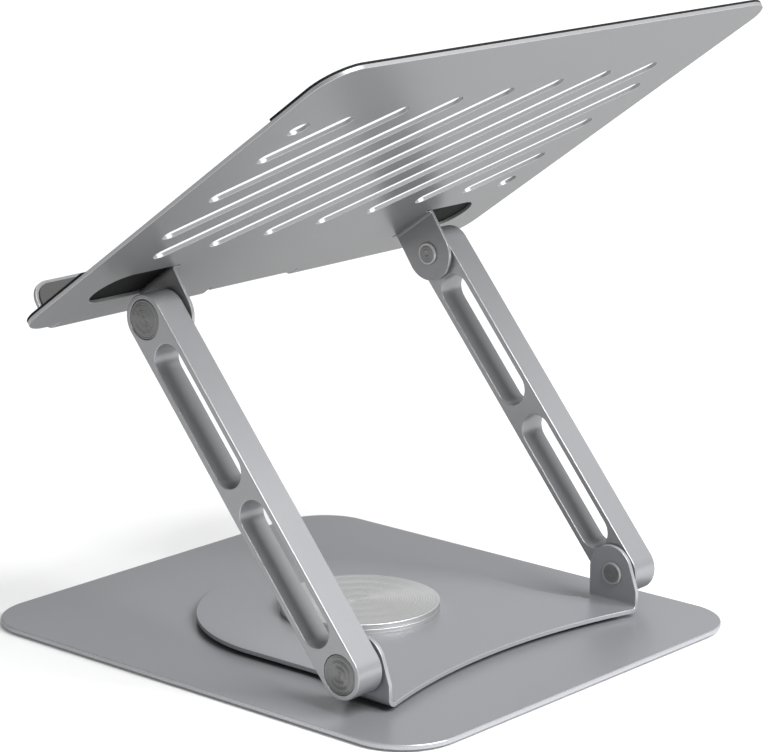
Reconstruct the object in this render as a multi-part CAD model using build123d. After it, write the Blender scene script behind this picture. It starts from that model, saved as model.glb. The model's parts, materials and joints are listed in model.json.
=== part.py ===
"""Folding laptop stand: base, turntable, two slotted arms and a slotted platform.

Millimetres, +Z up. The origin is on the floor under the turntable's axis, +X points
to the stand's left, and the user sits on the -Y side. Each sub-part goes to
parts/NAME.step.
"""
from build123d import *
import math
import os

# ---- driving dimensions ---------------------------------------------------------
FOOT_THICK = 0.8            # silicone feet under the base
BASE_WIDTH, BASE_DEPTH, BASE_THICK, BASE_CORNER = 225.0, 257.0, 2.3, 26.7

GLIDE_THICK, GLIDE_R_OUT, GLIDE_R_IN = 1.9, 37.0, 21.0
SWIVEL_THICK = 2.0          # bent sheet that turns on the base
LOBE_R = 72.5               # round front of the swivel plate
REAR_ARC_MID_Y, REAR_ARC_R = 80.0, 265.0
BEND_IN = 1.8               # inside bend radius of the swivel plate's ears

DISC_R = 35.6               # turntable disc
RACE_THICK, RACE_R_IN = 2.0, 25.5
CAP_GAP, CAP_THICK = 0.1, 2.3
HUB_R, HUB_CLEAR = 14.95, 0.05
BALL_R, BALL_COUNT, BALL_PCD_R = 0.9, 20, 20.3
HUB_SCREW_PCD_R, HUB_SCREW_R, HUB_SCREW_HEAD_R, HUB_SCREW_HEAD = 9.0, 1.5, 2.9, 1.4
RIVET_R, RIVET_PCD_R = 1.5, 30.5

PIVOT_Y, PIVOT_Z = 78.3, 20.5   # lower hinge line
ARM_LENGTH, ARM_ANGLE = 170.0, 50.1
ARM_HALF, ARM_IN, ARM_OUT = 10.7, 84.2, 98.5
SLOT_HALF, SLOT_START, SLOT_BRIDGE = 8.0, 13.4, 7.6

EAR_OUT = 83.0              # outer face of all four ears
EAR_HALF = 12.7             # half width of an ear, and tip radius of the platform's
EAR_TIP_R = 11.4            # radius of the round end of the swivel plate's ears
EAR_TIP_UP = 1.2            # how far past the pin that radius's centre is
EAR_SHOULDER = 6.0          # how far short of the pin its sloping side starts
PIN_R, PIN_HEAD_R, PIN_HEAD = 3.0, 5.2, 1.1
RUN_CLEAR = 0.05            # running clearance of the arms on the pins
RECESS_R, RECESS_FLOOR = 8.65, 90.0
SPACER_R = 8.0
FRICTION_R, FRICTION_THICK = 8.3, 1.0
SPRING_R, SPRING_THICK = 6.8, 1.6
NUT_ACROSS_FLATS, NUT_THICK = 10.0, 3.4
COVER_THICK, COVER_SINK = 1.2, 0.2

TILT = 34.7                 # platform, low edge to the front
PLAT_WIDTH, PLAT_DEPTH, PLAT_THICK, PLAT_CORNER = 280.0, 221.2, 1.7, 16.5
PIVOT_V, PIVOT_DROP = 30.3, 15.75   # hinge line from the low edge and below the sheet
PLAT_BEND_IN = 1.5
CUTOUT_TIP = 117.6          # outer end of the holes that the ears were bent out of
VENT_WIDTH, VENT_PITCH, VENT_COUNT = 9.5, 32.4, 12
VENT_V_MID, VENT_V_HALF, VENT_X_HALF = 116.7, 57.7, 117.6
HOOK_IN, HOOK_OUT, HOOK_HEIGHT, HOOK_BEND_IN = 28.0, 117.0, 22.0, 2.5
HOOK_REACH, HOOK_CORNER = 6.3, 9.0
RELIEF = 1.4                # relief slots beside the hooks' bends
PAD_THICK, FRONT_PAD_DEPTH, REAR_PAD_START = 1.0, 52.0, 181.0
LINER_INSET, LINER_GAP = 1.6, 0.6

# ---- heights that follow --------------------------------------------------------
BASE_TOP = FOOT_THICK + BASE_THICK
SWIVEL_Z = BASE_TOP + GLIDE_THICK
SWIVEL_TOP = SWIVEL_Z + SWIVEL_THICK
RACE_TOP = SWIVEL_TOP + RACE_THICK
CAP_Z = RACE_TOP + CAP_GAP
CAP_TOP = CAP_Z + CAP_THICK
LOWER_PIVOT = (PIVOT_Y, PIVOT_Z)
UPPER_PIVOT = (
    PIVOT_Y - ARM_LENGTH * math.cos(math.radians(ARM_ANGLE)),
    PIVOT_Z + ARM_LENGTH * math.sin(math.radians(ARM_ANGLE)),
)
SIDES = {"left": 1, "right": -1}
TINY = 0.01

os.makedirs("parts", exist_ok=True)


def save(name, shape):
    """Write one sub-part under its node name."""
    export_step(shape, f"parts/{name}.step")


def disc(radius, z0, z1, hole=0.0, at=(0.0, 0.0)):
    """Upright round plate between two heights, with an optional round hole."""
    solid = Pos(at[0], at[1], z0) * extrude(Circle(radius), z1 - z0)
    if hole:
        solid -= Pos(at[0], at[1], z0 - 1) * extrude(Circle(hole), z1 - z0 + 2)
    return solid


def side_disc(radius, x0, x1, pivot, hole=0.0):
    """Round plate on a hinge line, between two distances from the centre plane (+X)."""
    ring = Circle(radius) - Circle(hole) if hole else Circle(radius)
    return Pos(x0, pivot[0], pivot[1]) * (Rot(0, 90, 0) * extrude(ring, x1 - x0))


def on_side(shape, side):
    """A shape made for +X, or its mirror image for -X."""
    return shape if side > 0 else mirror(shape, Plane.YZ)


def yz_prism(face, x0, x1):
    """Extrude a sketch whose x, y are the model's Y, Z, from x0 to x1."""
    plane = Plane(origin=(x0, 0, 0), x_dir=(0, 1, 0), z_dir=(1, 0, 0))
    return extrude(plane * face, x1 - x0)


def xz_prism(face, y0, y1):
    """Extrude a sketch whose x, y are the model's X, Z, from y0 to y1."""
    plane = Plane(origin=(0, y1, 0), x_dir=(1, 0, 0), z_dir=(0, -1, 0))
    return extrude(plane * face, y1 - y0)


def sheet_corner(run, rise, thick, r_in):
    """Section of a sheet that runs along +x and bends up at the origin's corner.

    The outer corner is at (0, 0): the flat leg reaches x = -run, the upright y = rise.
    """
    r_out = r_in + thick
    outline = [
        Line((-run, 0), (-r_out, 0)),
        CenterArc((-r_out, r_out), r_out, 270, 90),
        Line((0, r_out), (0, rise)),
        Line((0, rise), (-thick, rise)),
        Line((-thick, rise), (-thick, r_out)),
        CenterArc((-r_out, r_out), r_in, 0, -90),
        Line((-r_out, thick), (-run, thick)),
        Line((-run, thick), (-run, 0)),
    ]
    return make_face(outline)


# ---- base -----------------------------------------------------------------------
def base_plate():
    """Rounded plate with four countersunk holes for the hub's screws."""
    plate = Pos(0, 0, FOOT_THICK) * extrude(
        RectangleRounded(BASE_WIDTH, BASE_DEPTH, BASE_CORNER), BASE_THICK)
    plate = fillet(plate.faces().sort_by(Axis.Z)[-1].edges(), 0.7)
    for x, y in hub_screw_places():
        plate -= disc(HUB_SCREW_R, FOOT_THICK - 1, BASE_TOP + 1, at=(x, y))
        plate -= Pos(x, y, FOOT_THICK + HUB_SCREW_HEAD / 2) * Cone(
            HUB_SCREW_HEAD_R, HUB_SCREW_R, HUB_SCREW_HEAD)
    return plate


def base_foot(sx, sy):
    """Silicone foot: a rounded strip near one corner, on the floor."""
    width, depth, inset = 62.0, 14.0, 12.0
    x = sx * (BASE_WIDTH / 2 - inset - width / 2)
    y = sy * (BASE_DEPTH / 2 - inset - depth / 2)
    return Pos(x, y, 0) * extrude(SlotOverall(width, depth), FOOT_THICK)


# ---- turntable ------------------------------------------------------------------
def hub_screw_places():
    """The four screw places round the turntable's axis."""
    return [(loc.position.X, loc.position.Y)
            for loc in PolarLocations(HUB_SCREW_PCD_R, 4, start_angle=45)]


def turntable_hub():
    """Round boss on the base that the swivel plate turns on."""
    hub = disc(HUB_R, BASE_TOP, CAP_Z)
    for place in hub_screw_places():
        hub -= disc(HUB_SCREW_R, BASE_TOP - 1, CAP_Z + 1, at=place)
    return hub


def hub_screws():
    """Four countersunk screws from below, through base and hub into the disc."""
    tip = CAP_Z + 1.5
    screws = []
    for x, y in hub_screw_places():
        head = Pos(x, y, FOOT_THICK + HUB_SCREW_HEAD / 2) * Cone(
            HUB_SCREW_HEAD_R, HUB_SCREW_R, HUB_SCREW_HEAD)
        screws.append(head + disc(HUB_SCREW_R, FOOT_THICK, tip, at=(x, y)))
    return Compound(children=screws)


def turntable_disc():
    """Disc on top of the hub, with fine concentric grooves and blind screw holes."""
    cap = disc(DISC_R, CAP_Z, CAP_TOP)
    cap = chamfer(cap.faces().sort_by(Axis.Z)[-1].edges(), 0.35)
    for radius in range(4, 34, 3):
        cap -= disc(radius + 0.3, CAP_TOP - 0.12, CAP_TOP + 1, hole=radius - 0.3)
    for place in hub_screw_places():
        cap -= disc(HUB_SCREW_R, CAP_Z - 1, CAP_Z + 1.5, at=place)
    return cap


def race_rivet_places():
    """The four rivet places of the bearing ring."""
    return [(loc.position.X, loc.position.Y)
            for loc in PolarLocations(RIVET_PCD_R, 4, start_angle=0)]


def bearing_ring():
    """Ring under the disc that is riveted to the swivel plate and holds the cage in."""
    ring = disc(DISC_R, SWIVEL_TOP, RACE_TOP, hole=RACE_R_IN)
    for place in race_rivet_places():
        ring -= disc(RIVET_R, SWIVEL_TOP - 1, RACE_TOP + 1, at=place)
    return ring


def ring_rivets():
    """Four flush rivets through the swivel plate and the bearing ring."""
    return Compound(children=[disc(RIVET_R, SWIVEL_Z + 0.1, RACE_TOP - 0.1, at=place)
                              for place in race_rivet_places()])


def bearing_balls():
    """Balls that the disc holds down on the swivel plate."""
    height = SWIVEL_TOP + RACE_THICK / 2 + CAP_GAP / 2
    return Compound(children=[
        Pos(loc.position.X, loc.position.Y, height) * Sphere(BALL_R)
        for loc in PolarLocations(BALL_PCD_R, BALL_COUNT)])


def ball_cage():
    """Flat ring with a pocket for each ball."""
    middle = SWIVEL_TOP + RACE_THICK / 2 + CAP_GAP / 2
    cage = disc(24.5, middle - 0.5, middle + 0.5, hole=16.5)
    for loc in PolarLocations(BALL_PCD_R, BALL_COUNT):
        place = (loc.position.X, loc.position.Y)
        cage -= disc(BALL_R + 0.1, middle - 1, middle + 1, at=place)
    return cage


def ear_outline(pivot, root, rear):
    """Flat upright ear with a round end and a sloping rear side.

    root is the distance from the pin to the foot, rear the foot's half width on the
    sloping side.
    """
    middle = (EAR_TIP_R - EAR_HALF, EAR_TIP_UP)
    reach = (rear - middle[0], -EAR_SHOULDER - middle[1])
    turn = (math.atan2(reach[1], reach[0])
            + math.acos(EAR_TIP_R / math.hypot(reach[0], reach[1])))
    tangent = (middle[0] + EAR_TIP_R * math.cos(turn),
               middle[1] + EAR_TIP_R * math.sin(turn))
    side = Polygon((-EAR_HALF, -root), (rear, -root), (rear, -EAR_SHOULDER), tangent,
                   middle, (-EAR_HALF, middle[1]), align=None)
    ear = side + Pos(*middle) * Circle(EAR_TIP_R)
    return Pos(*pivot) * ear


# ---- swivel plate ---------------------------------------------------------------
def swivel_outline():
    """Flat outline: round front lobe, flared sides and a hollow rear edge."""
    side_x, side_y = 72.0, 36.0
    flare_x, flare_y = 77.5, 62.0
    ear_x = EAR_OUT - BEND_IN - SWIVEL_THICK
    ear_y = PIVOT_Y + EAR_HALF + 0.5
    rear_y = REAR_ARC_MID_Y + ear_x ** 2 / (2 * REAR_ARC_R)
    half = [
        ThreePointArc((-LOBE_R, 0), (0, -LOBE_R), (LOBE_R, 0)),
        Line((LOBE_R, 0), (side_x, side_y)),
        ThreePointArc((side_x, side_y), (73.4, 50.0), (flare_x, flare_y)),
        Polyline((flare_x, flare_y), (ear_x, flare_y), (ear_x, max(rear_y, ear_y))),
        ThreePointArc((ear_x, max(rear_y, ear_y)), (0, REAR_ARC_MID_Y),
                      (-ear_x, max(rear_y, ear_y))),
        Polyline((-ear_x, max(rear_y, ear_y)), (-ear_x, flare_y), (-flare_x, flare_y)),
        ThreePointArc((-flare_x, flare_y), (-73.4, 50.0), (-side_x, side_y)),
        Line((-side_x, side_y), (-LOBE_R, 0)),
    ]
    return make_face(half)


def swivel_ear():
    """One upright ear with its bend, made for +X."""
    section = Pos(EAR_OUT, SWIVEL_Z) * sheet_corner(
        BEND_IN + SWIVEL_THICK + TINY, 40.0, SWIVEL_THICK, BEND_IN)
    y0, y1 = PIVOT_Y - EAR_HALF, PIVOT_Y + EAR_HALF + 0.5
    blank = xz_prism(section, y0, y1)
    outline = ear_outline(LOWER_PIVOT, PIVOT_Z - 4.5, EAR_HALF + 0.5)
    ear = blank & yz_prism(outline, EAR_OUT - 10, EAR_OUT + 1)
    return ear - side_disc(PIN_R, EAR_OUT - 5, EAR_OUT + 1, LOWER_PIVOT)


def swivel_plate():
    """Sheet that turns on the hub, with one ear bent up at each rear corner."""
    plate = Pos(0, 0, SWIVEL_Z) * extrude(swivel_outline(), SWIVEL_THICK)
    plate -= disc(HUB_R + HUB_CLEAR, SWIVEL_Z - 1, SWIVEL_TOP + 1)
    for place in race_rivet_places():
        plate -= disc(RIVET_R, SWIVEL_Z - 1, SWIVEL_TOP + 1, at=place)
    for side in SIDES.values():
        plate += on_side(swivel_ear(), side)
        notch = (side * (EAR_OUT - 2.6), PIVOT_Y - EAR_HALF - 1.0)
        plate -= disc(2.6, SWIVEL_Z - 1, SWIVEL_TOP + 3.5, at=notch)
    return plate


# ---- arms -----------------------------------------------------------------------
def arm():
    """Flat bar with two long slots, a pin hole and a recess at each end (for +X)."""
    along = [LOWER_PIVOT, UPPER_PIVOT]
    middle = ((along[0][0] + along[1][0]) / 2, (along[0][1] + along[1][1]) / 2)
    turn = Pos(*middle) * Rot(0, 0, 180 - ARM_ANGLE)
    slot_length = ARM_LENGTH / 2 - SLOT_START - SLOT_BRIDGE / 2
    slot_place = (slot_length + SLOT_BRIDGE) / 2
    outline = SlotCenterToCenter(ARM_LENGTH, 2 * ARM_HALF)
    for sign in (-1, 1):
        outline -= Pos(sign * slot_place, 0) * SlotOverall(slot_length, 2 * SLOT_HALF)
    bar = yz_prism(turn * outline, ARM_IN, ARM_OUT)
    rims = bar.faces().sort_by(Axis.X)
    bar = chamfer(ShapeList([rims[0].outer_wire(), rims[-1].outer_wire()]).edges(), 0.4)
    for pivot in along:
        bar -= side_disc(PIN_R + RUN_CLEAR, ARM_IN - 1, ARM_OUT + 1, pivot)
        bar -= side_disc(RECESS_R, RECESS_FLOOR, ARM_OUT + 1, pivot)
    return bar


# ---- hinge hardware, made for +X ------------------------------------------------
def hinge_pin(pivot, ear_thick):
    """Pin with a low head on the ear's inner face and a shank through the arm."""
    face = EAR_OUT - ear_thick
    nut_end = RECESS_FLOOR + FRICTION_THICK + SPRING_THICK + NUT_THICK
    head = side_disc(PIN_HEAD_R, face - PIN_HEAD, face, pivot)
    head = chamfer(head.faces().sort_by(Axis.X)[0].edges(), 0.35)
    return head + side_disc(PIN_R, face, nut_end + 0.5, pivot)


def spacer(pivot):
    """Plain washer between ear and arm."""
    return side_disc(SPACER_R, EAR_OUT, ARM_IN, pivot, hole=PIN_R + RUN_CLEAR)


def friction_washer(pivot):
    """Washer keyed into the arm's recess."""
    x0 = RECESS_FLOOR
    return side_disc(FRICTION_R, x0, x0 + FRICTION_THICK, pivot, hole=PIN_R + RUN_CLEAR)


def spring_washers(pivot):
    """Pair of disc springs that press the friction washer."""
    x0 = RECESS_FLOOR + FRICTION_THICK
    single = SPRING_THICK / 2
    dish = 0.25
    solids = []
    for start, turned in ((x0, False), (x0 + single, True)):
        section = make_face(Polyline(
            (start + (0 if turned else dish), PIN_R + RUN_CLEAR),
            (start + single - (dish if turned else 0), PIN_R + RUN_CLEAR),
            (start + single - (0 if turned else dish), SPRING_R),
            (start + (dish if turned else 0), SPRING_R),
            close=True))
        solids.append(Pos(0, *pivot) * revolve(section, Axis.X))
    return Compound(children=solids)


def lock_nut(pivot):
    """Hexagon nut on the pin's end."""
    x0 = RECESS_FLOOR + FRICTION_THICK + SPRING_THICK
    hexagon = RegularPolygon(NUT_ACROSS_FLATS / 2, 6, major_radius=False) - Circle(PIN_R)
    nut = Pos(x0, pivot[0], pivot[1]) * (Rot(0, 90, 0) * extrude(hexagon, NUT_THICK))
    return nut


def pivot_cover(pivot):
    """Round cover that closes the arm's recess."""
    x1 = ARM_OUT - COVER_SINK
    cover = side_disc(RECESS_R, x1 - COVER_THICK, x1, pivot)
    return chamfer(cover.faces().sort_by(Axis.X)[-1].edges(), 0.3)


# ---- platform, drawn flat: x across, y up the slope (v), z square to the sheet (n) --
def platform_place():
    """Where the flat platform goes: turned about X, with its hinge line on the arms'."""
    return Pos(0, *UPPER_PIVOT) * Rot(TILT, 0, 0) * Pos(0, -PIVOT_V, PIVOT_DROP)


def vents():
    """Slanted slots within a rectangle, and a round hole in two of its corners."""
    radius = VENT_WIDTH / 2
    shapes = []
    for index in range(VENT_COUNT):
        across = (index - (VENT_COUNT - 1) / 2) * VENT_PITCH
        low = max(-VENT_V_HALF, -VENT_X_HALF - across)
        high = min(VENT_V_HALF, VENT_X_HALF - across)
        if high - low < VENT_WIDTH:
            continue
        length = (high - low) * math.sqrt(2)
        centre = (low + high) / 2
        shapes.append(Pos(-(across + centre), VENT_V_MID + centre)
                      * Rot(0, 0, -45) * SlotOverall(length, VENT_WIDTH))
    for sign in (-1, 1):
        shapes.append(Pos(sign * VENT_X_HALF, VENT_V_MID + sign * (VENT_V_HALF - radius / 2))
                      * Circle(radius))
    return shapes


def platform_ear():
    """One ear bent down out of the platform, made for +X."""
    section = Pos(EAR_OUT, -PLAT_THICK) * sheet_corner(
        PLAT_BEND_IN + PLAT_THICK + TINY, 40.0, PLAT_THICK, PLAT_BEND_IN)
    section = mirror(section, Plane.XZ)
    blank = xz_prism(section, PIVOT_V - EAR_HALF, PIVOT_V + EAR_HALF)
    outline = (Pos(PIVOT_V, -PIVOT_DROP / 2 + 2) * Rectangle(2 * EAR_HALF, PIVOT_DROP + 4)
               + Pos(PIVOT_V, -PIVOT_DROP) * Circle(EAR_HALF))
    ear = blank & yz_prism(outline, EAR_OUT - 10, EAR_OUT + 1)
    return ear - side_disc(PIN_R, EAR_OUT - 5, EAR_OUT + 1, (PIVOT_V, -PIVOT_DROP))


def cutout():
    """Tongue-shaped hole that an ear was bent out of, made for +X."""
    start = EAR_OUT - PLAT_BEND_IN - PLAT_THICK
    half = EAR_HALF + 0.4
    straight = CUTOUT_TIP - half - start
    shape = (Pos(start + straight / 2, PIVOT_V) * Rectangle(straight, 2 * half)
             + Pos(start + straight, PIVOT_V) * Circle(half))
    for sign in (-1, 1):
        shape += Pos(start, PIVOT_V + sign * EAR_HALF) * Circle(1.1)
    return shape


def hook():
    """One up-turned stop at the low edge, made for +X."""
    section = Pos(-HOOK_REACH, 0) * mirror(sheet_corner(
        HOOK_REACH + TINY, HOOK_HEIGHT, PLAT_THICK, HOOK_BEND_IN), Plane.YZ)
    blank = yz_prism(section, HOOK_IN, HOOK_OUT)
    width = HOOK_OUT - HOOK_IN
    face = Pos((HOOK_IN + HOOK_OUT) / 2, 0) * RectangleRounded(
        width, 2 * HOOK_HEIGHT, HOOK_CORNER)
    return blank & xz_prism(face, -HOOK_REACH - 1, 1)


def platform_plate():
    """Slotted sheet with two ears bent down and two hooks bent up."""
    outline = Pos(0, PLAT_DEPTH / 2) * RectangleRounded(PLAT_WIDTH, PLAT_DEPTH, PLAT_CORNER)
    outline -= vents()
    for side in SIDES.values():
        hole = cutout()
        outline -= hole if side > 0 else mirror(hole, Plane.YZ)
        for x in (HOOK_IN - RELIEF / 2, HOOK_OUT + RELIEF / 2):
            outline -= Pos(side * x, 0) * SlotOverall(2 * 3.0, RELIEF, rotation=90)
    plate = extrude(outline, PLAT_THICK)
    for side in SIDES.values():
        plate += on_side(platform_ear(), side)
        plate += on_side(hook(), side)
    return platform_place() * plate


def platform_pad(v0, v1):
    """Silicone strip on top of the sheet between two depths, flush with its edges."""
    sheet = Pos(0, PLAT_DEPTH / 2) * RectangleRounded(PLAT_WIDTH, PLAT_DEPTH, PLAT_CORNER)
    strip = Pos(0, (v0 + v1) / 2) * Rectangle(PLAT_WIDTH + 2, v1 - v0)
    return platform_place() * Pos(0, 0, PLAT_THICK) * extrude(sheet & strip, PAD_THICK)


def hook_liner():
    """Silicone strip on a hook's inner face, made for +X."""
    bottom = PLAT_THICK + HOOK_BEND_IN + LINER_GAP
    top = HOOK_HEIGHT - LINER_INSET
    width = HOOK_OUT - HOOK_IN - 2 * LINER_INSET
    middle = ((HOOK_IN + HOOK_OUT) / 2, (bottom + top) / 2)
    face = Pos(*middle) * Rectangle(width, top - bottom)
    face = fillet(face.vertices().group_by(Axis.Y)[-1], HOOK_CORNER - LINER_INSET)
    inner = -HOOK_REACH + PLAT_THICK
    return platform_place() * xz_prism(face, inner, inner + PAD_THICK)


# ---- write every sub-part -------------------------------------------------------
def write_base():
    """Base body: plate, feet, glide ring, hub, screws and disc."""
    save("base_plate", base_plate())
    for x_name, sx in SIDES.items():
        for y_name, sy in (("front", -1), ("rear", 1)):
            save(f"base_foot_{y_name}_{x_name}", base_foot(sx, sy))
    save("glide_ring", disc(GLIDE_R_OUT, BASE_TOP, SWIVEL_Z, hole=GLIDE_R_IN))
    save("turntable_hub", turntable_hub())
    save("hub_screws", hub_screws())
    save("turntable_disc", turntable_disc())


def write_swivel():
    """Swivel body and the ball bearing."""
    save("swivel_plate", swivel_plate())
    save("bearing_ring", bearing_ring())
    save("ring_rivets", ring_rivets())
    save("bearing_balls", bearing_balls())
    save("ball_cage", ball_cage())


def write_hinges():
    """Arms and the hardware of the four hinges."""
    hinges = {"lower": (LOWER_PIVOT, SWIVEL_THICK), "upper": (UPPER_PIVOT, PLAT_THICK)}
    for side_name, side in SIDES.items():
        save(f"arm_{side_name}", on_side(arm(), side))
        for level, (pivot, ear_thick) in hinges.items():
            end = f"{level}_{side_name}"
            save(f"hinge_pin_{end}", on_side(hinge_pin(pivot, ear_thick), side))
            save(f"spacer_{end}", on_side(spacer(pivot), side))
            save(f"friction_washer_{end}", on_side(friction_washer(pivot), side))
            save(f"spring_washers_{end}", on_side(spring_washers(pivot), side))
            save(f"lock_nut_{end}", on_side(lock_nut(pivot), side))
            save(f"pivot_cover_{end}", on_side(pivot_cover(pivot), side))


def write_platform():
    """Platform body: sheet, pads and hook liners."""
    save("platform_plate", platform_plate())
    save("front_pad", platform_pad(0.0, FRONT_PAD_DEPTH))
    save("rear_pad", platform_pad(REAR_PAD_START, PLAT_DEPTH))
    for side_name, side in SIDES.items():
        save(f"hook_liner_{side_name}", on_side(hook_liner(), side))


write_base()
write_swivel()
write_hinges()
write_platform()
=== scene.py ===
"""Looks of a folding laptop stand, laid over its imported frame.

The stand is a rounded base with a turntable, a swivel plate with two upright ears,
two slotted swing arms on friction hinges, and a slotted platform with two stops.
Sheet parts are drawn as flat blanks in millimetres, their edges are rounded, and their
tabs are folded by the same sums a press brake follows. Round parts are turned profiles.
"""

import json
import logging
import math
from dataclasses import dataclass, field
from enum import Enum
from typing import Any, Iterable, Sequence

import bpy
import numpy as np
from mathutils import Matrix, Vector, geometry


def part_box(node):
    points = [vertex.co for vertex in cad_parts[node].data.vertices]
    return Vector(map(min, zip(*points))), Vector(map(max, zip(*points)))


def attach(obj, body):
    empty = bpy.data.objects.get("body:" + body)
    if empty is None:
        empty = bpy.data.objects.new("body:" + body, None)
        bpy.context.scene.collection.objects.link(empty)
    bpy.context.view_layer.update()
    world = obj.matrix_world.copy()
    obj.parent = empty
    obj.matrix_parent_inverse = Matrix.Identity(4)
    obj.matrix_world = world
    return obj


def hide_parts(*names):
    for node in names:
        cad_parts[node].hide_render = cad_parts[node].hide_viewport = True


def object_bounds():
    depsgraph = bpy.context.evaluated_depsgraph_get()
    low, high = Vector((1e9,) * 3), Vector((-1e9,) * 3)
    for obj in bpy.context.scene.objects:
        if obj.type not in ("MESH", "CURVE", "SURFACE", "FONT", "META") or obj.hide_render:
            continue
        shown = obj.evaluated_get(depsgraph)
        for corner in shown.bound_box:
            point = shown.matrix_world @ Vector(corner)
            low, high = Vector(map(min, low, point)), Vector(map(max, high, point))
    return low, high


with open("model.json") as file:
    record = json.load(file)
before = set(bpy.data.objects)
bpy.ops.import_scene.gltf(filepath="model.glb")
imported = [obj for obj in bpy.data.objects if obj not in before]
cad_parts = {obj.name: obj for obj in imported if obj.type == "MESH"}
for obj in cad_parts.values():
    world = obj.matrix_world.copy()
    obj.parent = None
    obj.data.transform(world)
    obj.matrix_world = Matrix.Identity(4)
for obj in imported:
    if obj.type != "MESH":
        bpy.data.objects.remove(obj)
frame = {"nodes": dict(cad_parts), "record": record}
CAD_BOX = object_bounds()

LOG = logging.getLogger("laptop_stand")
MM = 0.001


class Hand(Enum):
    """Side of the stand, with the sign of its x."""

    LEFT = 1
    RIGHT = -1

    @property
    def word(self) -> str:
        """Name of the side as the frame's nodes spell it."""
        return self.name.lower()


class Level(Enum):
    """Which end of the arms a hinge is at."""

    LOWER = "lower"
    UPPER = "upper"


class Axis(Enum):
    """Axis that turned lines run round."""

    X = 0
    Z = 2


def node_box(name: str) -> tuple[np.ndarray, np.ndarray]:
    """Lowest and highest corner of a frame node, in millimetres."""
    low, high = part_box(name)
    return np.array(low) / MM, np.array(high) / MM


def hinge_line(joint: str) -> np.ndarray:
    """Place of a joint's axis in the record, in millimetres."""
    joints = frame["record"]["behaviour"]["joints"]
    return np.array(next(j["pos_m"] for j in joints if j["name"] == joint)) / MM


# ---- outlines -------------------------------------------------------------------
def arc(centre: Sequence[float], radius: float, start: float, end: float,
        count: int) -> np.ndarray:
    """Points on a circular arc: centre plus radius times cosine and sine of the turn.

    Args:
        centre: Centre of the arc.
        radius: Its radius.
        start: First angle in degrees, anticlockwise from +x.
        end: Last angle in degrees.
        count: Number of points, both ends included.

    Returns:
        Points, one a row.
    """
    turn = np.radians(np.linspace(start, end, count))
    return np.stack([centre[0] + radius * np.cos(turn),
                     centre[1] + radius * np.sin(turn)], axis=1)


def circle(centre: Sequence[float], radius: float, count: int = 48) -> np.ndarray:
    """Full circle, anticlockwise, without a repeated last point."""
    return arc(centre, radius, 0.0, 360.0, count + 1)[:-1]


def bow(first: Sequence[float], middle: Sequence[float], last: Sequence[float],
        count: int) -> np.ndarray:
    """Arc through three points, about the point that is equally far from all three.

    Args:
        first: Where the arc starts.
        middle: A point that it passes.
        last: Where it ends.
        count: Number of points.

    Returns:
        Points, one a row.
    """
    a, b, c = (np.array(p, float) for p in (first, middle, last))
    sides = np.array([b - a, c - a])
    centre = a + np.linalg.solve(2 * sides, (sides ** 2).sum(axis=1))
    angles = [math.degrees(math.atan2(*(p - centre)[::-1])) for p in (a, b, c)]
    sweep = (angles[2] - angles[0]) % 360
    if (angles[1] - angles[0]) % 360 > sweep:
        sweep -= 360
    return arc(centre, float(np.linalg.norm(a - centre)), angles[0], angles[0] + sweep,
               count)


def stadium(centre: Sequence[float], length: float, width: float, turn: float = 0.0,
            count: int = 14) -> np.ndarray:
    """Round-ended slot: two half circles joined by straight sides, anticlockwise.

    Args:
        centre: Middle of the slot.
        length: Length over its round ends.
        width: Its width.
        turn: Angle of its long axis in degrees.
        count: Points in each round end.

    Returns:
        Points, one a row.
    """
    radius, half = width / 2, (length - width) / 2
    loop = np.concatenate([arc((half, 0), radius, -90, 90, count),
                           arc((-half, 0), radius, 90, 270, count)])
    c, s = math.cos(math.radians(turn)), math.sin(math.radians(turn))
    return loop @ np.array([[c, s], [-s, c]]) + np.array(centre)


def rounded_box(low: Sequence[float], high: Sequence[float], radii: Sequence[float],
                count: int = 16) -> np.ndarray:
    """Rectangle with its corners rounded, anticlockwise from the lower left corner.

    Args:
        low: Lowest x and y.
        high: Highest x and y.
        radii: Corner radii, lower left first and anticlockwise from there.
        count: Points in each corner.

    Returns:
        Points, one a row.
    """
    turns = (180.0, 270.0, 0.0, 90.0)
    signs = ((1, 1), (-1, 1), (-1, -1), (1, -1))
    corners = ((low[0], low[1]), (high[0], low[1]), (high[0], high[1]), (low[0], high[1]))
    return np.concatenate([
        arc((x + sx * r, y + sy * r), r, turn, turn + 90, count)
        for (x, y), (sx, sy), r, turn in zip(corners, signs, radii, turns)])


def edge_normals(loop: np.ndarray) -> tuple[np.ndarray, np.ndarray, np.ndarray]:
    """How a loop's edge faces: the right-hand normal of the way it runs.

    An edge's normal is its direction turned a quarter clockwise. A point's mitre is the
    sum of its two edges' normals over one plus their dot product. Where the two edges
    turn by less than 35 degrees they share one shading normal.

    Args:
        loop: Closed outline with the material on its left.

    Returns:
        Mitres, and the shading normals at each edge's start and at its end.
    """
    run = np.roll(loop, -1, axis=0) - loop
    run = run / np.linalg.norm(run, axis=1, keepdims=True)
    right = np.stack([run[:, 1], -run[:, 0]], axis=1)
    before = np.roll(right, 1, axis=0)
    dot = (right * before).sum(axis=1, keepdims=True)
    mitre = (right + before) / (1 + dot)
    shared = mitre / np.linalg.norm(mitre, axis=1, keepdims=True)
    smooth = dot > math.cos(math.radians(35))
    return mitre, np.where(smooth, shared, right), np.roll(
        np.where(smooth, shared, before), -1, axis=0)


def inset(loop: np.ndarray, depth: float) -> np.ndarray:
    """Outline moved into the material by a depth, along its mitres."""
    return loop - edge_normals(loop)[0] * depth


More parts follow.
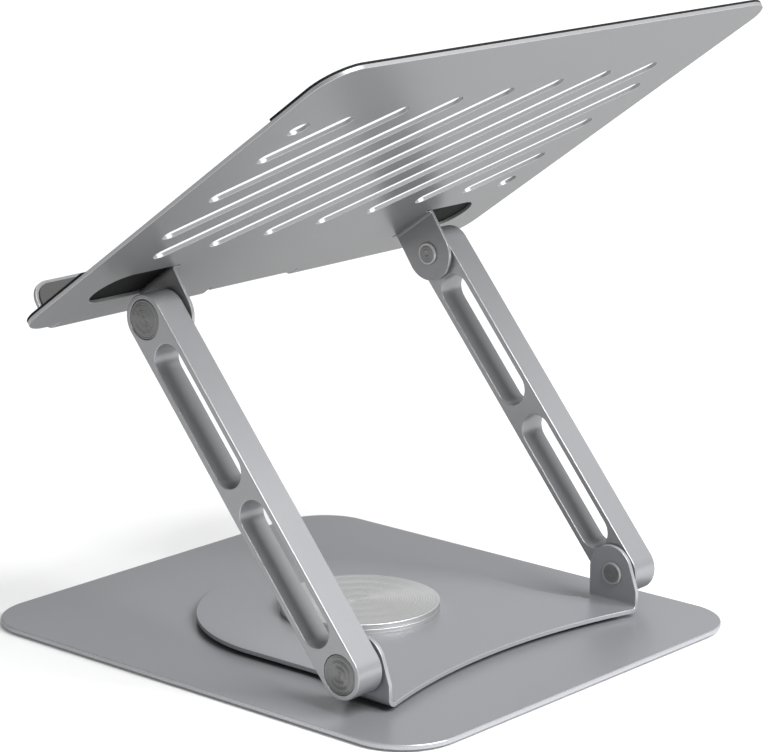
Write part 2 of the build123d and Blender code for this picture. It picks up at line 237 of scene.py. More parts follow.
def divided(loop: np.ndarray, axis: int, values: Iterable[float],
            span: tuple[float, float]) -> np.ndarray:
    """Outline with a point added wherever it crosses the given lines.

    A crossing is where the distance to the line changes sign, at the share of the edge
    where that distance is nought.

    Args:
        loop: Closed outline.
        axis: 0 for lines of fixed x, 1 for lines of fixed y.
        values: Where the lines are.
        span: Range of the other coordinate in which they count.

    Returns:
        The outline with its new points.
    """
    for value in values:
        after = np.roll(loop, -1, axis=0)
        here, there = loop[:, axis] - value, after[:, axis] - value
        crossing = here * there < -1e-12
        share = np.where(crossing, here / np.where(crossing, here - there, 1.0), 0.0)
        points = loop + (after - loop) * share[:, None]
        crossing &= (points[:, 1 - axis] > span[0]) & (points[:, 1 - axis] < span[1])
        where = np.flatnonzero(crossing)
        loop = np.insert(loop, where + 1, points[where], axis=0)
    return loop


def inside(points: np.ndarray, loops: Sequence[np.ndarray]) -> np.ndarray:
    """Whether points lie in the material: an odd number of edges to their right.

    Args:
        points: Points to test, one a row.
        loops: Outlines of the material and its holes.

    Returns:
        One truth value a point.
    """
    crossings = np.zeros(len(points), int)
    for loop in loops:
        a, b = loop[None], np.roll(loop, -1, axis=0)[None]
        p = points[:, None]
        spans = (a[..., 1] > p[..., 1]) != (b[..., 1] > p[..., 1])
        rise = np.where(spans, b[..., 1] - a[..., 1], 1.0)
        cut = a[..., 0] + (p[..., 1] - a[..., 1]) * (b[..., 0] - a[..., 0]) / rise
        crossings += (spans & (cut > p[..., 0])).sum(axis=1)
    return crossings % 2 == 1


def tongue(pin: Sequence[float], half: float, rear: float, radius: float = 11.4,
           past: float = 1.2, shoulder: float = 6.0) -> np.ndarray:
    """End of an ear's tongue: straight side, round tip, then a sloping side.

    The sloping side is the tangent of the tip from a point short of the pin, so its
    angle is that of the point seen from the tip's centre plus acos(radius / distance).

    Args:
        pin: Place of the pin, with the tongue running along x.
        half: Half width on the straight side.
        rear: Half width on the sloping side.
        radius: Radius of the tip.
        past: How far past the pin its centre is.
        shoulder: How far short of the pin the slope starts.

    Returns:
        Points from the straight side round to the shoulder.
    """
    centre = (past, radius - half)
    reach = (-shoulder - centre[0], rear - centre[1])
    turn = math.atan2(reach[1], reach[0]) - math.acos(radius / math.hypot(*reach))
    tip = arc(centre, radius, -90, math.degrees(turn), 40)
    return np.concatenate([tip, [[-shoulder, rear]]]) + pin


# ---- surfaces -------------------------------------------------------------------
@dataclass(frozen=True)
class Fold:
    """Right-angle bend of a flat tab about a straight line.

    Within the bend the turn is the distance past the line over the middle radius, and
    beyond it the tab runs on straight. The tab is as wide as its span as far as the
    centre of its tip, and round beyond that.
    """

    axis: int
    side: float
    start: float
    inner: float
    thick: float
    up: bool
    span: tuple[float, float]
    tip: float = 1e6

    @property
    def length(self) -> float:
        """Length of the bend, measured in the middle of the sheet."""
        return (self.inner + self.thick / 2) * math.pi / 2

    def lines(self, steps: int = 10) -> np.ndarray:
        """Where the bend's lines cross the blank."""
        return self.side * (self.start + self.length * np.linspace(0, 1, steps + 1))

    def folded(self, points: np.ndarray, normals: np.ndarray
               ) -> tuple[np.ndarray, np.ndarray]:
        """Points and normals of the blank after the bend.

        Args:
            points: Places on the blank, whose last coordinate is the height in the sheet.
            normals: Normals at those places.

        Returns:
            The folded places and normals.
        """
        along = self.side * points[..., self.axis] - self.start
        across = points[..., 1 - self.axis]
        past_tip = np.maximum(along - (self.tip - self.start), 0)
        off_middle = across - (self.span[0] + self.span[1]) / 2
        half = (self.span[1] - self.span[0]) / 2
        tab = (along > 0) & (np.hypot(past_tip, off_middle) < half)
        way = 1.0 if self.up else -1.0
        turn = np.clip(along, 0, self.length) / (self.inner + self.thick / 2)
        rest = np.maximum(along - self.length, 0)
        height = points[..., 2] if self.up else self.thick - points[..., 2]
        radius = self.thick + self.inner - height
        run = self.start + radius * np.sin(turn) + rest * np.cos(turn)
        rise = self.thick + self.inner - radius * np.cos(turn) + rest * np.sin(turn)
        rise = rise if self.up else self.thick - rise
        a, b = self.side * normals[..., self.axis], normals[..., 2]
        new_a = a * np.cos(turn) - way * b * np.sin(turn)
        new_b = way * a * np.sin(turn) + b * np.cos(turn)
        moved, turned_normals = points.copy(), normals.copy()
        moved[..., self.axis] = np.where(tab, self.side * run, points[..., self.axis])
        moved[..., 2] = np.where(tab, rise, points[..., 2])
        turned_normals[..., self.axis] = np.where(
            tab, self.side * new_a, normals[..., self.axis])
        turned_normals[..., 2] = np.where(tab, new_b, normals[..., 2])
        return moved, turned_normals


def rounded_rows(low: float, high: float, radius: float, steps: int = 4) -> np.ndarray:
    """Section of a plate's edge: a quarter round below, a wall and a quarter round above.

    The inset is the radius times one minus the sine of the turn, and the height is an
    end height plus or minus the radius times one minus its cosine.

    Args:
        low: Height of the lower face.
        high: Height of the upper face.
        radius: Radius of both rounds.
        steps: Steps in each round.

    Returns:
        Rows of inset, height, and the normal's outward and upward parts.
    """
    turn = np.radians(np.linspace(0, 90, steps + 1))
    size = np.full_like(turn, radius)
    bottom = np.stack([size * (1 - np.sin(turn)), low + size * (1 - np.cos(turn)),
                       np.sin(turn), -np.cos(turn)], axis=1)
    top = bottom[::-1] * np.array([1, -1, 1, -1]) + np.array([0, low + high, 0, 0])
    return np.concatenate([bottom, top])


class Surface:
    """Faces gathered patch by patch, each corner with its own normal and rim share, the
    share that some finishes paint as an edge highlight.
    """

    def __init__(self) -> None:
        """Start with no faces."""
        self.points: list[np.ndarray] = []
        self.faces: list[np.ndarray] = []
        self.normals: list[np.ndarray] = []
        self.rims: list[np.ndarray] = []
        self.count = 0

    def add(self, points: np.ndarray, faces: np.ndarray, normals: np.ndarray,
            rims: np.ndarray | None = None) -> None:
        """Add one patch.

        Args:
            points: Places, one a row.
            faces: Corner numbers of triangles or quads, one face a row.
            normals: A normal for each corner of each face.
            rims: How much each corner belongs to a rim painted as an edge highlight, from 0
                to 1.
        """
        self.points.append(points)
        self.faces.append(faces + self.count)
        self.normals.append(normals)
        self.rims.append(np.zeros(faces.shape) if rims is None else rims)
        self.count += len(points)

    def net(self, rows: np.ndarray, normals: np.ndarray, rims: np.ndarray) -> None:
        """Add a grid of quads that closes on itself along its second axis.

        Args:
            rows: Places, by row and by column.
            normals: Corner normals of each quad, by row, column and corner.
            rims: Rim share of each row.
        """
        count, wide = rows.shape[:2]
        here = np.arange(wide)
        after = np.roll(here, -1)
        base = np.arange(count - 1)[:, None] * wide
        faces = np.stack([base + here, base + after, base + wide + after,
                          base + wide + here], axis=-1).reshape(-1, 4)
        share = np.stack([rims[:-1], rims[:-1], rims[1:], rims[1:]], axis=-1)
        share = np.repeat(share[:, None], wide, axis=1).reshape(-1, 4)
        self.add(rows.reshape(-1, 3), faces, normals.reshape(-1, 4, 3), share)

    def skin(self, loop: np.ndarray, rows: np.ndarray, cut: float = 0.0) -> None:
        """Carry an edge section along a closed outline.

        Each row is the outline less its mitres times the inset, at the row's height.

        Args:
            loop: Outline with the material on its left.
            rows: Rows of inset, height, and the normal's outward and upward parts.
            cut: How far the wall between the rounds counts as a rim painted as an edge
                highlight.
        """
        mitre, start, finish = edge_normals(loop)
        flat = loop[None] - mitre[None] * rows[:, 0, None, None]
        height = np.broadcast_to(rows[:, 1, None, None], flat.shape[:2] + (1,))
        ends = [np.concatenate([side[None] * rows[:, 2, None, None],
                                np.broadcast_to(rows[:, 3, None, None],
                                                flat.shape[:2] + (1,))], axis=-1)
                for side in (start, finish)]
        normals = np.stack([ends[0][:-1], ends[1][:-1], ends[1][1:], ends[0][1:]], axis=2)
        # Rim share: high on the rounds and, by cut, on the wall; the finishes paint it as
        # an edge highlight.
        rims = 1 - np.maximum(np.abs(rows[:, 2]), np.abs(rows[:, 3])) ** 8
        rims = np.maximum(rims, cut * np.abs(rows[:, 2]) ** 2)
        self.net(np.concatenate([flat, height], axis=-1), normals, rims)

    def cap(self, loops: Sequence[np.ndarray], height: float, up: bool,
            folds: Sequence[Fold] = ()) -> None:
        """Fill the flat face between outlines with triangles, split along fold lines.

        Args:
            loops: The outline and its holes.
            height: Height of the face.
            up: Whether it faces up.
            folds: Bends whose lines must be edges of the filling.
        """
        points = np.concatenate(loops)
        starts = np.cumsum([0] + [len(loop) for loop in loops])
        edges = np.concatenate([
            np.stack([np.arange(a, b), np.roll(np.arange(a, b), -1)], axis=1)
            for a, b in zip(starts[:-1], starts[1:])])
        for fold in folds:
            for value in fold.lines():
                on_line = np.flatnonzero(
                    (np.abs(points[:, fold.axis] - value) < 1e-6)
                    & (points[:, 1 - fold.axis] > fold.span[0])
                    & (points[:, 1 - fold.axis] < fold.span[1]))
                order = on_line[np.argsort(points[on_line, 1 - fold.axis])]
                if len(order) >= 2:
                    edges = np.concatenate([edges, [[order[0], order[-1]]]])
        made = geometry.delaunay_2d_cdt([Vector(p) for p in points.tolist()],
                                        edges.tolist(), [], 1, 1e-7)
        places = np.array([tuple(v) for v in made[0]])
        faces = np.array([tuple(f) for f in made[2]])
        middle = places[faces].mean(axis=1)
        faces = faces[inside(middle, loops)]
        a, b, c = (places[faces[:, i]] for i in range(3))
        area = (b[:, 0] - a[:, 0]) * (c[:, 1] - a[:, 1]) \
            - (b[:, 1] - a[:, 1]) * (c[:, 0] - a[:, 0])
        faces = np.where((area > 0)[:, None] == up, faces, faces[:, ::-1])
        normals = np.zeros(faces.shape + (3,))
        normals[..., 2] = 1.0 if up else -1.0
        solid = np.concatenate([places, np.full((len(places), 1), height)], axis=1)
        self.add(solid, faces, normals)

    def plate(self, loops: Sequence[np.ndarray], low: float, high: float,
              radius: float, folds: Sequence[Fold] = (), cut: float = 0.5) -> None:
        """Add a flat plate with rounded edges, then bend its tabs.

        Args:
            loops: The outline anticlockwise and its holes clockwise.
            low: Height of the lower face.
            high: Height of the upper face.
            radius: Radius of its edges.
            folds: Bends to make.
            cut: How far its walls count as rims painted as an edge highlight.
        """
        rows = rounded_rows(low, high, radius)
        for loop in loops:
            self.skin(loop, rows, cut)
        shrunk = [inset(loop, radius) for loop in loops]
        self.cap(shrunk, low, False, folds)
        self.cap(shrunk, high, True, folds)
        self.fold(folds)

    def fold(self, folds: Sequence[Fold]) -> None:
        """Bend everything gathered so far."""
        offsets = np.cumsum([0] + [len(p) for p in self.points])
        for fold in folds:
            for index, (points, faces) in enumerate(zip(self.points, self.faces)):
                corners = points[faces - offsets[index]]
                _, self.normals[index] = fold.folded(corners, self.normals[index])
                self.points[index], _ = fold.folded(points, np.zeros_like(points))

    def turned(self, profile: np.ndarray, count: int = 64, crease: float = 28.0,
               highlight_rows: Sequence[int] = ()) -> None:
        """Revolve a profile about the z axis.

        A point at radius r and turn t goes to r cos t, r sin t. The profile's normal is
        its direction turned a quarter clockwise, shared across gentle corners.

        Args:
            profile: Radius and height by row, with the material on its left.
            count: Steps round the axis.
            crease: Corners sharper than this many degrees stay sharp.
            highlight_rows: Rows that count as rims painted as an edge highlight.
        """
        run = np.diff(profile, axis=0)
        run = run / np.linalg.norm(run, axis=1, keepdims=True)
        right = np.stack([run[:, 1], -run[:, 0]], axis=1)
        dot = (right[1:] * right[:-1]).sum(axis=1, keepdims=True)
        shared = right[1:] + right[:-1]
        shared = shared / np.maximum(np.linalg.norm(shared, axis=1, keepdims=True), 1e-9)
        smooth = dot > math.cos(math.radians(crease))
        start = np.concatenate([right[:1], np.where(smooth, shared, right[1:])])
        finish = np.concatenate([np.where(smooth, shared, right[:-1]), right[-1:]])
        turn = 2 * np.pi * np.arange(count + 1) / count
        c, s = np.cos(turn), np.sin(turn)
        rows = np.stack([profile[:, 0, None] * c[:-1], profile[:, 0, None] * s[:-1],
                         np.repeat(profile[:, 1, None], count, axis=1)], axis=-1)

        def around(flat: np.ndarray, shift: int) -> np.ndarray:
            """Profile normals carried round the axis."""
            cc, ss = c[shift:count + shift], s[shift:count + shift]
            return np.stack([flat[:, 0, None] * cc, flat[:, 0, None] * ss,
                             np.repeat(flat[:, 1, None], count, axis=1)], axis=-1)

        normals = np.stack([around(start, 0), around(start, 1), around(finish, 1),
                            around(finish, 0)], axis=2)
        self.net(rows, normals, np.isin(np.arange(len(profile)), highlight_rows).astype(float))

    def placed(self, place: np.ndarray) -> "Surface":
        """Copy of the surface carried to its place, turned round again if mirrored.

        Args:
            place: Four by four matrix in millimetres.

        Returns:
            The carried copy.
        """
        turn, shift = place[:3, :3], place[:3, 3]
        flipped = np.linalg.det(turn) < 0
        made = Surface()
        made.points = [p @ turn.T + shift for p in self.points]
        step = -1 if flipped else 1
        made.faces = [f[:, ::step] for f in self.faces]
        made.normals = [(n @ turn.T)[:, ::step] for n in self.normals]
        made.rims = [r[:, ::step] for r in self.rims]
        made.count = self.count
        return made

    def merged(self, other: "Surface") -> "Surface":
        """This surface with another one's faces added to it."""
        for points, faces, normals, rims, start in zip(
                other.points, other.faces, other.normals, other.rims,
                np.cumsum([0] + [len(p) for p in other.points])):
            self.add(points, faces - start, normals, rims)
        return self

    def corner_lists(self) -> tuple[np.ndarray, list[tuple[np.ndarray, ...]]]:
        """Weld places that coincide and drop what collapses.

        Returns:
            The welded places, and for triangles and quads their corner numbers, normals
            and rim shares.
        """
        points = np.concatenate(self.points)
        _, first, welded = np.unique(np.round(points / 1e-4).astype(np.int64), axis=0,
                                     return_index=True, return_inverse=True)
        welded = welded.reshape(-1)
        groups: dict[int, list[tuple[np.ndarray, ...]]] = {3: [], 4: []}
        for faces, normals, rims in zip(self.faces, self.normals, self.rims):
            corners = welded[faces]
            same = corners == np.roll(corners, -1, axis=1)
            sides = faces.shape[1]
            whole = ~same.any(axis=1)
            groups[sides].append((corners[whole], normals[whole], rims[whole]))
            if sides == 4:
                for drop in range(4):
                    pick = same[:, drop] & (same.sum(axis=1) == 1)
                    keep = [i for i in range(4) if i != drop]
                    groups[3].append((corners[pick][:, keep], normals[pick][:, keep],
                                      rims[pick][:, keep]))
        lists = [tuple(np.concatenate(part) for part in zip(*groups[k]))
                 for k in (3, 4) if groups[k]]
        return points[first], lists

    def made(self, name: str) -> bpy.types.Object:
        """Write the faces into a mesh, in metres, and link its object.

        Args:
            name: Name of the piece.

        Returns:
            The new object, at the origin.
        """
        points, lists = self.corner_lists()
        lists = [part for part in lists if len(part[0])]
        mesh = bpy.data.meshes.new(name)
        corners = np.concatenate([part[0].ravel() for part in lists])
        sizes = np.concatenate([np.full(len(part[0]), part[0].shape[1]) for part in lists])
        mesh.vertices.add(len(points))
        mesh.loops.add(len(corners))
        mesh.polygons.add(len(sizes))
        mesh.vertices.foreach_set("co", (points * MM).astype(np.float32).ravel())
        mesh.loops.foreach_set("vertex_index", corners.astype(np.int32))
        starts = np.concatenate([[0], np.cumsum(sizes)[:-1]])
        mesh.polygons.foreach_set("loop_start", starts.astype(np.int32))
        mesh.update(calc_edges=True)
        mesh.polygons.foreach_set("use_smooth", np.ones(len(sizes), bool))
        # Rim share, which some finishes paint as an edge highlight.
        rim = mesh.attributes.new("rim", "FLOAT", "CORNER")
        rim.data.foreach_set("value", np.concatenate(
            [part[2].ravel() for part in lists]).astype(np.float32))
        normals = np.concatenate([part[1].reshape(-1, 3) for part in lists])
        normals /= np.maximum(np.linalg.norm(normals, axis=1, keepdims=True), 1e-9)
        mesh.normals_split_custom_set(normals.tolist())
        piece = bpy.data.objects.new(name, mesh)
        bpy.context.scene.collection.objects.link(piece)
        return piece


def axes(origin: Sequence[float], x: Sequence[float], y: Sequence[float],
         z: Sequence[float]) -> np.ndarray:
    """Matrix that carries a drawing's axes to the given directions and origin."""
    place = np.eye(4)
    place[:3, 0], place[:3, 1], place[:3, 2], place[:3, 3] = x, y, z, origin
    return place


def mirror_x(place: np.ndarray, hand: Hand) -> np.ndarray:
    """The same place on the other side where the hand is right."""
    return np.diag([float(hand.value), 1.0, 1.0, 1.0]) @ place


# ---- node recipes ---------------------------------------------------------------
class Socket:
    """A node's output that can be reckoned with like a number."""

    def __init__(self, recipe: "Recipe", output: bpy.types.NodeSocket) -> None:
        """Keep the output and the recipe that it belongs to."""
        self.recipe = recipe
        self.output = output

    def _with(self, operation: str, other: Any, swapped: bool = False) -> "Socket":
        """A Math node on this output and another value, in either order."""
        pair = (other, self) if swapped else (self, other)
        return self.recipe.node("ShaderNodeMath", {"operation": operation},
                                {0: pair[0], 1: pair[1]})

    def __add__(self, other: Any) -> "Socket":
        """Sum."""
        return self._with("ADD", other)

    __radd__ = __add__

    def __sub__(self, other: Any) -> "Socket":
        """Difference."""
        return self._with("SUBTRACT", other)

    def __rsub__(self, other: Any) -> "Socket":
        """Difference the other way round."""
        return self._with("SUBTRACT", other, swapped=True)

    def __mul__(self, other: Any) -> "Socket":
        """Product."""
        return self._with("MULTIPLY", other)

    __rmul__ = __mul__

    def __pow__(self, other: Any) -> "Socket":
        """Power."""
        return self._with("POWER", other)

    def sine(self) -> "Socket":
        """Sine."""
        return self._with("SINE", 0.0)

    def clipped(self, low: float, high: float) -> "Socket":
        """Value run from 0 at the low end to 1 at the high end, smoothly."""
        return self.recipe.node("ShaderNodeMapRange",
                                {"interpolation_type": "SMOOTHSTEP"},
                                {"Value": self, "From Min": low, "From Max": high})


class Recipe:
    """Node tree of one material, with its Principled shader."""

    def __init__(self, name: str) -> None:
        """Make the material and empty its tree down to the shader and the output."""
        self.material = bpy.data.materials.new(name)
        self.material.use_nodes = True
        self.tree = self.material.node_tree
        self.shader = self.tree.nodes["Principled BSDF"]

    def _feed(self, socket: bpy.types.NodeSocket, value: Any) -> None:
        """Link a socket to an output, or set it to a plain value."""
        if isinstance(value, Socket):
            self.tree.links.new(value.output, socket)
        else:
            socket.default_value = value

    def node(self, kind: str, settings: dict[str, Any] | None = None,
             inputs: dict[Any, Any] | None = None, output: int | str = 0) -> Socket:
        """Make any node.

        Args:
            kind: Its type.
            settings: Its properties.
            inputs: Its inputs by name or number, as outputs or plain values.
            output: Which output to hand back.

        Returns:
            That output.
        """
        made = self.tree.nodes.new(kind)
        for key, value in (settings or {}).items():
            setattr(made, key, value)
        for key, value in (inputs or {}).items():
            self._feed(made.inputs[key], value)
        return Socket(self, made.outputs[output])

    def place(self) -> Socket:
        """The object's own coordinates."""
        return self.node("ShaderNodeTexCoord", output="Object")

    def attribute(self, name: str) -> Socket:
        """A number stored on the mesh."""
        return self.node("ShaderNodeAttribute", {"attribute_name": name}, output="Fac")

    def noise(self, scale: float, detail: float = 2.0,
              stretch: Sequence[float] = (1.0, 1.0, 1.0)) -> Socket:
        """Soft noise on object coordinates.

        Args:
            scale: Lumps to the metre.
            detail: Octaves.
            stretch: Factor on each coordinate.

        Returns:
            The noise, about 0 to 1.
        """
        spread = self.node("ShaderNodeMapping", {"vector_type": "POINT"},
                           {"Vector": self.place(), "Scale": tuple(stretch)})
        return self.node("ShaderNodeTexNoise", {"noise_dimensions": "3D"},
                         {"Vector": spread, "Scale": scale, "Detail": detail})

    def around(self, axis: Axis, centre: Sequence[float]) -> tuple[Socket, Socket]:
        """Distance from an axis in metres, and the turn round it in radians.

        Args:
            axis: The axis.
            centre: A point on it, in metres.

        Returns:
            Distance and turn.
        """
        moved = self.node("ShaderNodeVectorMath", {"operation": "SUBTRACT"},
                          {0: self.place(), 1: tuple(centre)})
        pair = ("Y", "Z") if axis is Axis.X else ("X", "Y")
        parts = self.tree.nodes.new("ShaderNodeSeparateXYZ")
        self.tree.links.new(moved.output, parts.inputs[0])
        a, b = (Socket(self, parts.outputs[name]) for name in pair)
        distance = (a * a + b * b) ** 0.5
        return distance, self.node("ShaderNodeMath", {"operation": "ARCTAN2"}, {0: a, 1: b})

    def blend(self, share: Any, first: Any, second: Any) -> Socket:
        """Mix of two colours."""
        return self.node("ShaderNodeMix", {"data_type": "RGBA"},
                         {0: share, 6: first, 7: second}, output=2)

    def bump(self, height: Socket, strength: float, distance: float) -> Socket:
        """Relief from a height."""
        return self.node("ShaderNodeBump", None,
                         {"Height": height, "Strength": strength, "Distance": distance})

    def finish(self, **inputs: Any) -> bpy.types.Material:
        """Feed the shader and hand back the material.

        Args:
            inputs: Shader inputs by name, with underscores for spaces.

        Returns:
            The material.
        """
        for key, value in inputs.items():
            self._feed(self.shader.inputs[key.replace("_", " ")], value)
        return self.material


def grey(level: float, warmth: float = 0.0) -> tuple[float, float, float, float]:
    """Grey colour with a little warmth, or coolness where that is below nought."""
    return (level * (1 + warmth * 0.3), level, level * (1 - warmth), 1.0)


@dataclass(frozen=True)
class SatinAnodised:
    """Bead-blasted, anodised aluminium: fine even grain, soft sheen, and rims painted paler
    as an edge highlight.
    """

    name: str
    tone: float
    # Tone of the rims, painted paler as an edge highlight.
    rim_highlight_tone: float
    roughness: float = 0.34
    warmth: float = -0.035
    grain: float = 2600.0
    metallic: float = 0.5
    edge_tint: float = 0.55

    def made(self) -> bpy.types.Material:
        """Build the material.

        Returns:
            The material.
        """
        recipe = Recipe(self.name)
        blast = recipe.noise(self.grain, 2.0)
        cloud = recipe.noise(14.0, 3.0)
        speck = recipe.noise(900.0, 1.0)
        drift = (cloud - 0.5) * 0.10 + (speck - 0.5) * 0.05 + 0.5
        body = recipe.blend(drift, grey(self.tone * 0.86, self.warmth),
                            grey(self.tone * 1.14, self.warmth))
        # Rims painted paler by the mesh's rim share: a painted edge highlight.
        rim = recipe.attribute("rim").clipped(0.15, 0.9)
        colour = recipe.blend(rim, body, grey(self.rim_highlight_tone, self.warmth))
        rough = (blast - 0.5) * 0.10 + (cloud - 0.5) * 0.05 + self.roughness
        return recipe.finish(
            Base_Color=colour, Metallic=self.metallic, Roughness=rough - rim * 0.08,
            Specular_Tint=grey(self.edge_tint), Specular_IOR_Level=0.35,
            Normal=recipe.bump(blast, 0.22, 0.00004))


@dataclass(frozen=True)
class SpunMetal:
    """Lathe-turned face: fine rings, a grain that widens light into a bow tie, and a
    two-lobed highlight painted into its colour.
    """

    name: str
    tone: float
    roughness: float
    pitch: float
    axis: Axis
    centre: tuple[float, float, float]
    relief: float = 0.5
    warmth: float = 0.0
    metallic: float = 1.0
    brushed: float = 0.0

    def made(self) -> bpy.types.Material:
        """Build the material.

        Returns:
            The material.
        """
        recipe = Recipe(self.name)
        distance, turn = recipe.around(self.axis, self.centre)
        waver = (recipe.noise(420.0, 1.0) - 0.5) * 0.35
        rings = (distance * (2 * math.pi / self.pitch) + waver).sine()
        coarse = (distance * (2 * math.pi / (self.pitch * 3.7))).sine()
        # Two-lobed pattern round the axis, painted into the colour as a bow-tie highlight
        # and also nudging the roughness.
        fan_highlight = (turn * 2.0 + distance * 18.0).sine()
        lines = rings * 0.7 + coarse * 0.3
        shade = lines * 0.12 + fan_highlight * 0.12 + 0.5
        colour = recipe.blend(shade, grey(self.tone * 0.72, self.warmth),
                              grey(self.tone * 1.28, self.warmth))
        rough = fan_highlight * 0.03 + recipe.noise(1500.0) * 0.08 + (self.roughness - 0.04)
        return recipe.finish(
            Base_Color=colour, Metallic=self.metallic, Roughness=rough,
            Anisotropic=self.brushed,
            Normal=recipe.bump(lines, self.relief, self.pitch * 0.12))


@dataclass(frozen=True)
class PlatedSteel:
    """Machined or plated steel with faint tool marks, a cloudy film and rims painted
    brighter as a chamfer highlight.
    """

    name: str
    tone: float
    roughness: float
    warmth: float = 0.0
    marks: float = 0.15
    metallic: float = 1.0

    def made(self) -> bpy.types.Material:
        """Build the material.

        Returns:
            The material.
        """
        recipe = Recipe(self.name)
        marks = recipe.noise(1800.0, 2.0, (1.0, 1.0, 0.15))
        film = recipe.noise(240.0, 3.0)
        body = recipe.blend(film, grey(self.tone * 0.82, self.warmth),
                            grey(self.tone * 1.15, -self.warmth))
        # Rims painted brighter by the mesh's rim share: a painted chamfer highlight.
        edge = recipe.attribute("rim").clipped(0.15, 0.8)
        colour = recipe.blend(edge, body, grey(min(self.tone * 2.1, 0.8)))
        return recipe.finish(
            Base_Color=colour, Metallic=self.metallic,
            Roughness=(film - 0.5) * 0.2 + self.roughness,
            Normal=recipe.bump(marks, self.marks, 0.00003))


@dataclass(frozen=True)
class MattRubber:
    """Moulded silicone: near black, with a fine matt texture and a trace of dust."""

    name: str
    tone: float = 0.012
    roughness: float = 0.8
    specular: float = 0.08

    def made(self) -> bpy.types.Material:
        """Build the material.

        Returns:
            The material.
        """
        recipe = Recipe(self.name)
        texture = recipe.noise(1900.0, 3.0)
        dust = recipe.noise(60.0, 4.0).clipped(0.45, 0.8)
        colour = recipe.blend(dust * 0.5, grey(self.tone), grey(self.tone * 1.3, 0.02))
        return recipe.finish(
            Base_Color=colour, Roughness=(texture - 0.5) * 0.25 + self.roughness,
            Specular_IOR_Level=self.specular, Normal=recipe.bump(texture, 0.35, 0.00008))


@dataclass(frozen=True)
class MouldedAcetal:
    """Self-coloured engineering plastic with a low sheen."""

    name: str
    tone: float = 0.045
    roughness: float = 0.42

    def made(self) -> bpy.types.Material:
        """Build the material.

        Returns:
            The material.
        """
        recipe = Recipe(self.name)
        flow = recipe.noise(110.0, 3.0)
        pores = recipe.noise(2400.0, 1.0)
        colour = recipe.blend(flow, grey(self.tone * 0.85), grey(self.tone * 1.2))
        return recipe.finish(
            Base_Color=colour, Roughness=(pores - 0.5) * 0.12 + self.roughness,
            Normal=recipe.bump(pores, 0.12, 0.00003))


def dress(node: str, material: bpy.types.Material) -> None:
    """Give a frame node a material in each of its slots."""
    piece = frame["nodes"][node]
    if not piece.material_slots:
        piece.data.materials.append(material)
    for place in piece.material_slots:
        place.material = material


def settle(piece: bpy.types.Object, material: bpy.types.Material, body: str, slot: str,
           *nodes: str) -> bpy.types.Object:
    """Finish a new piece: its material, its body and what it stands for.

    Args:
        piece: The piece.
        material: Its material.
        body: The body that it moves with.
        slot: The record's material slot; not used.
        nodes: Frame nodes that it replaces.

    Returns:
        The piece.
    """
    piece.data.materials.append(material)
    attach(piece, body)
    if nodes:
        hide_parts(*nodes)
    LOG.info("%s: %d faces on %s", piece.name, len(piece.data.polygons), body)
    return piece


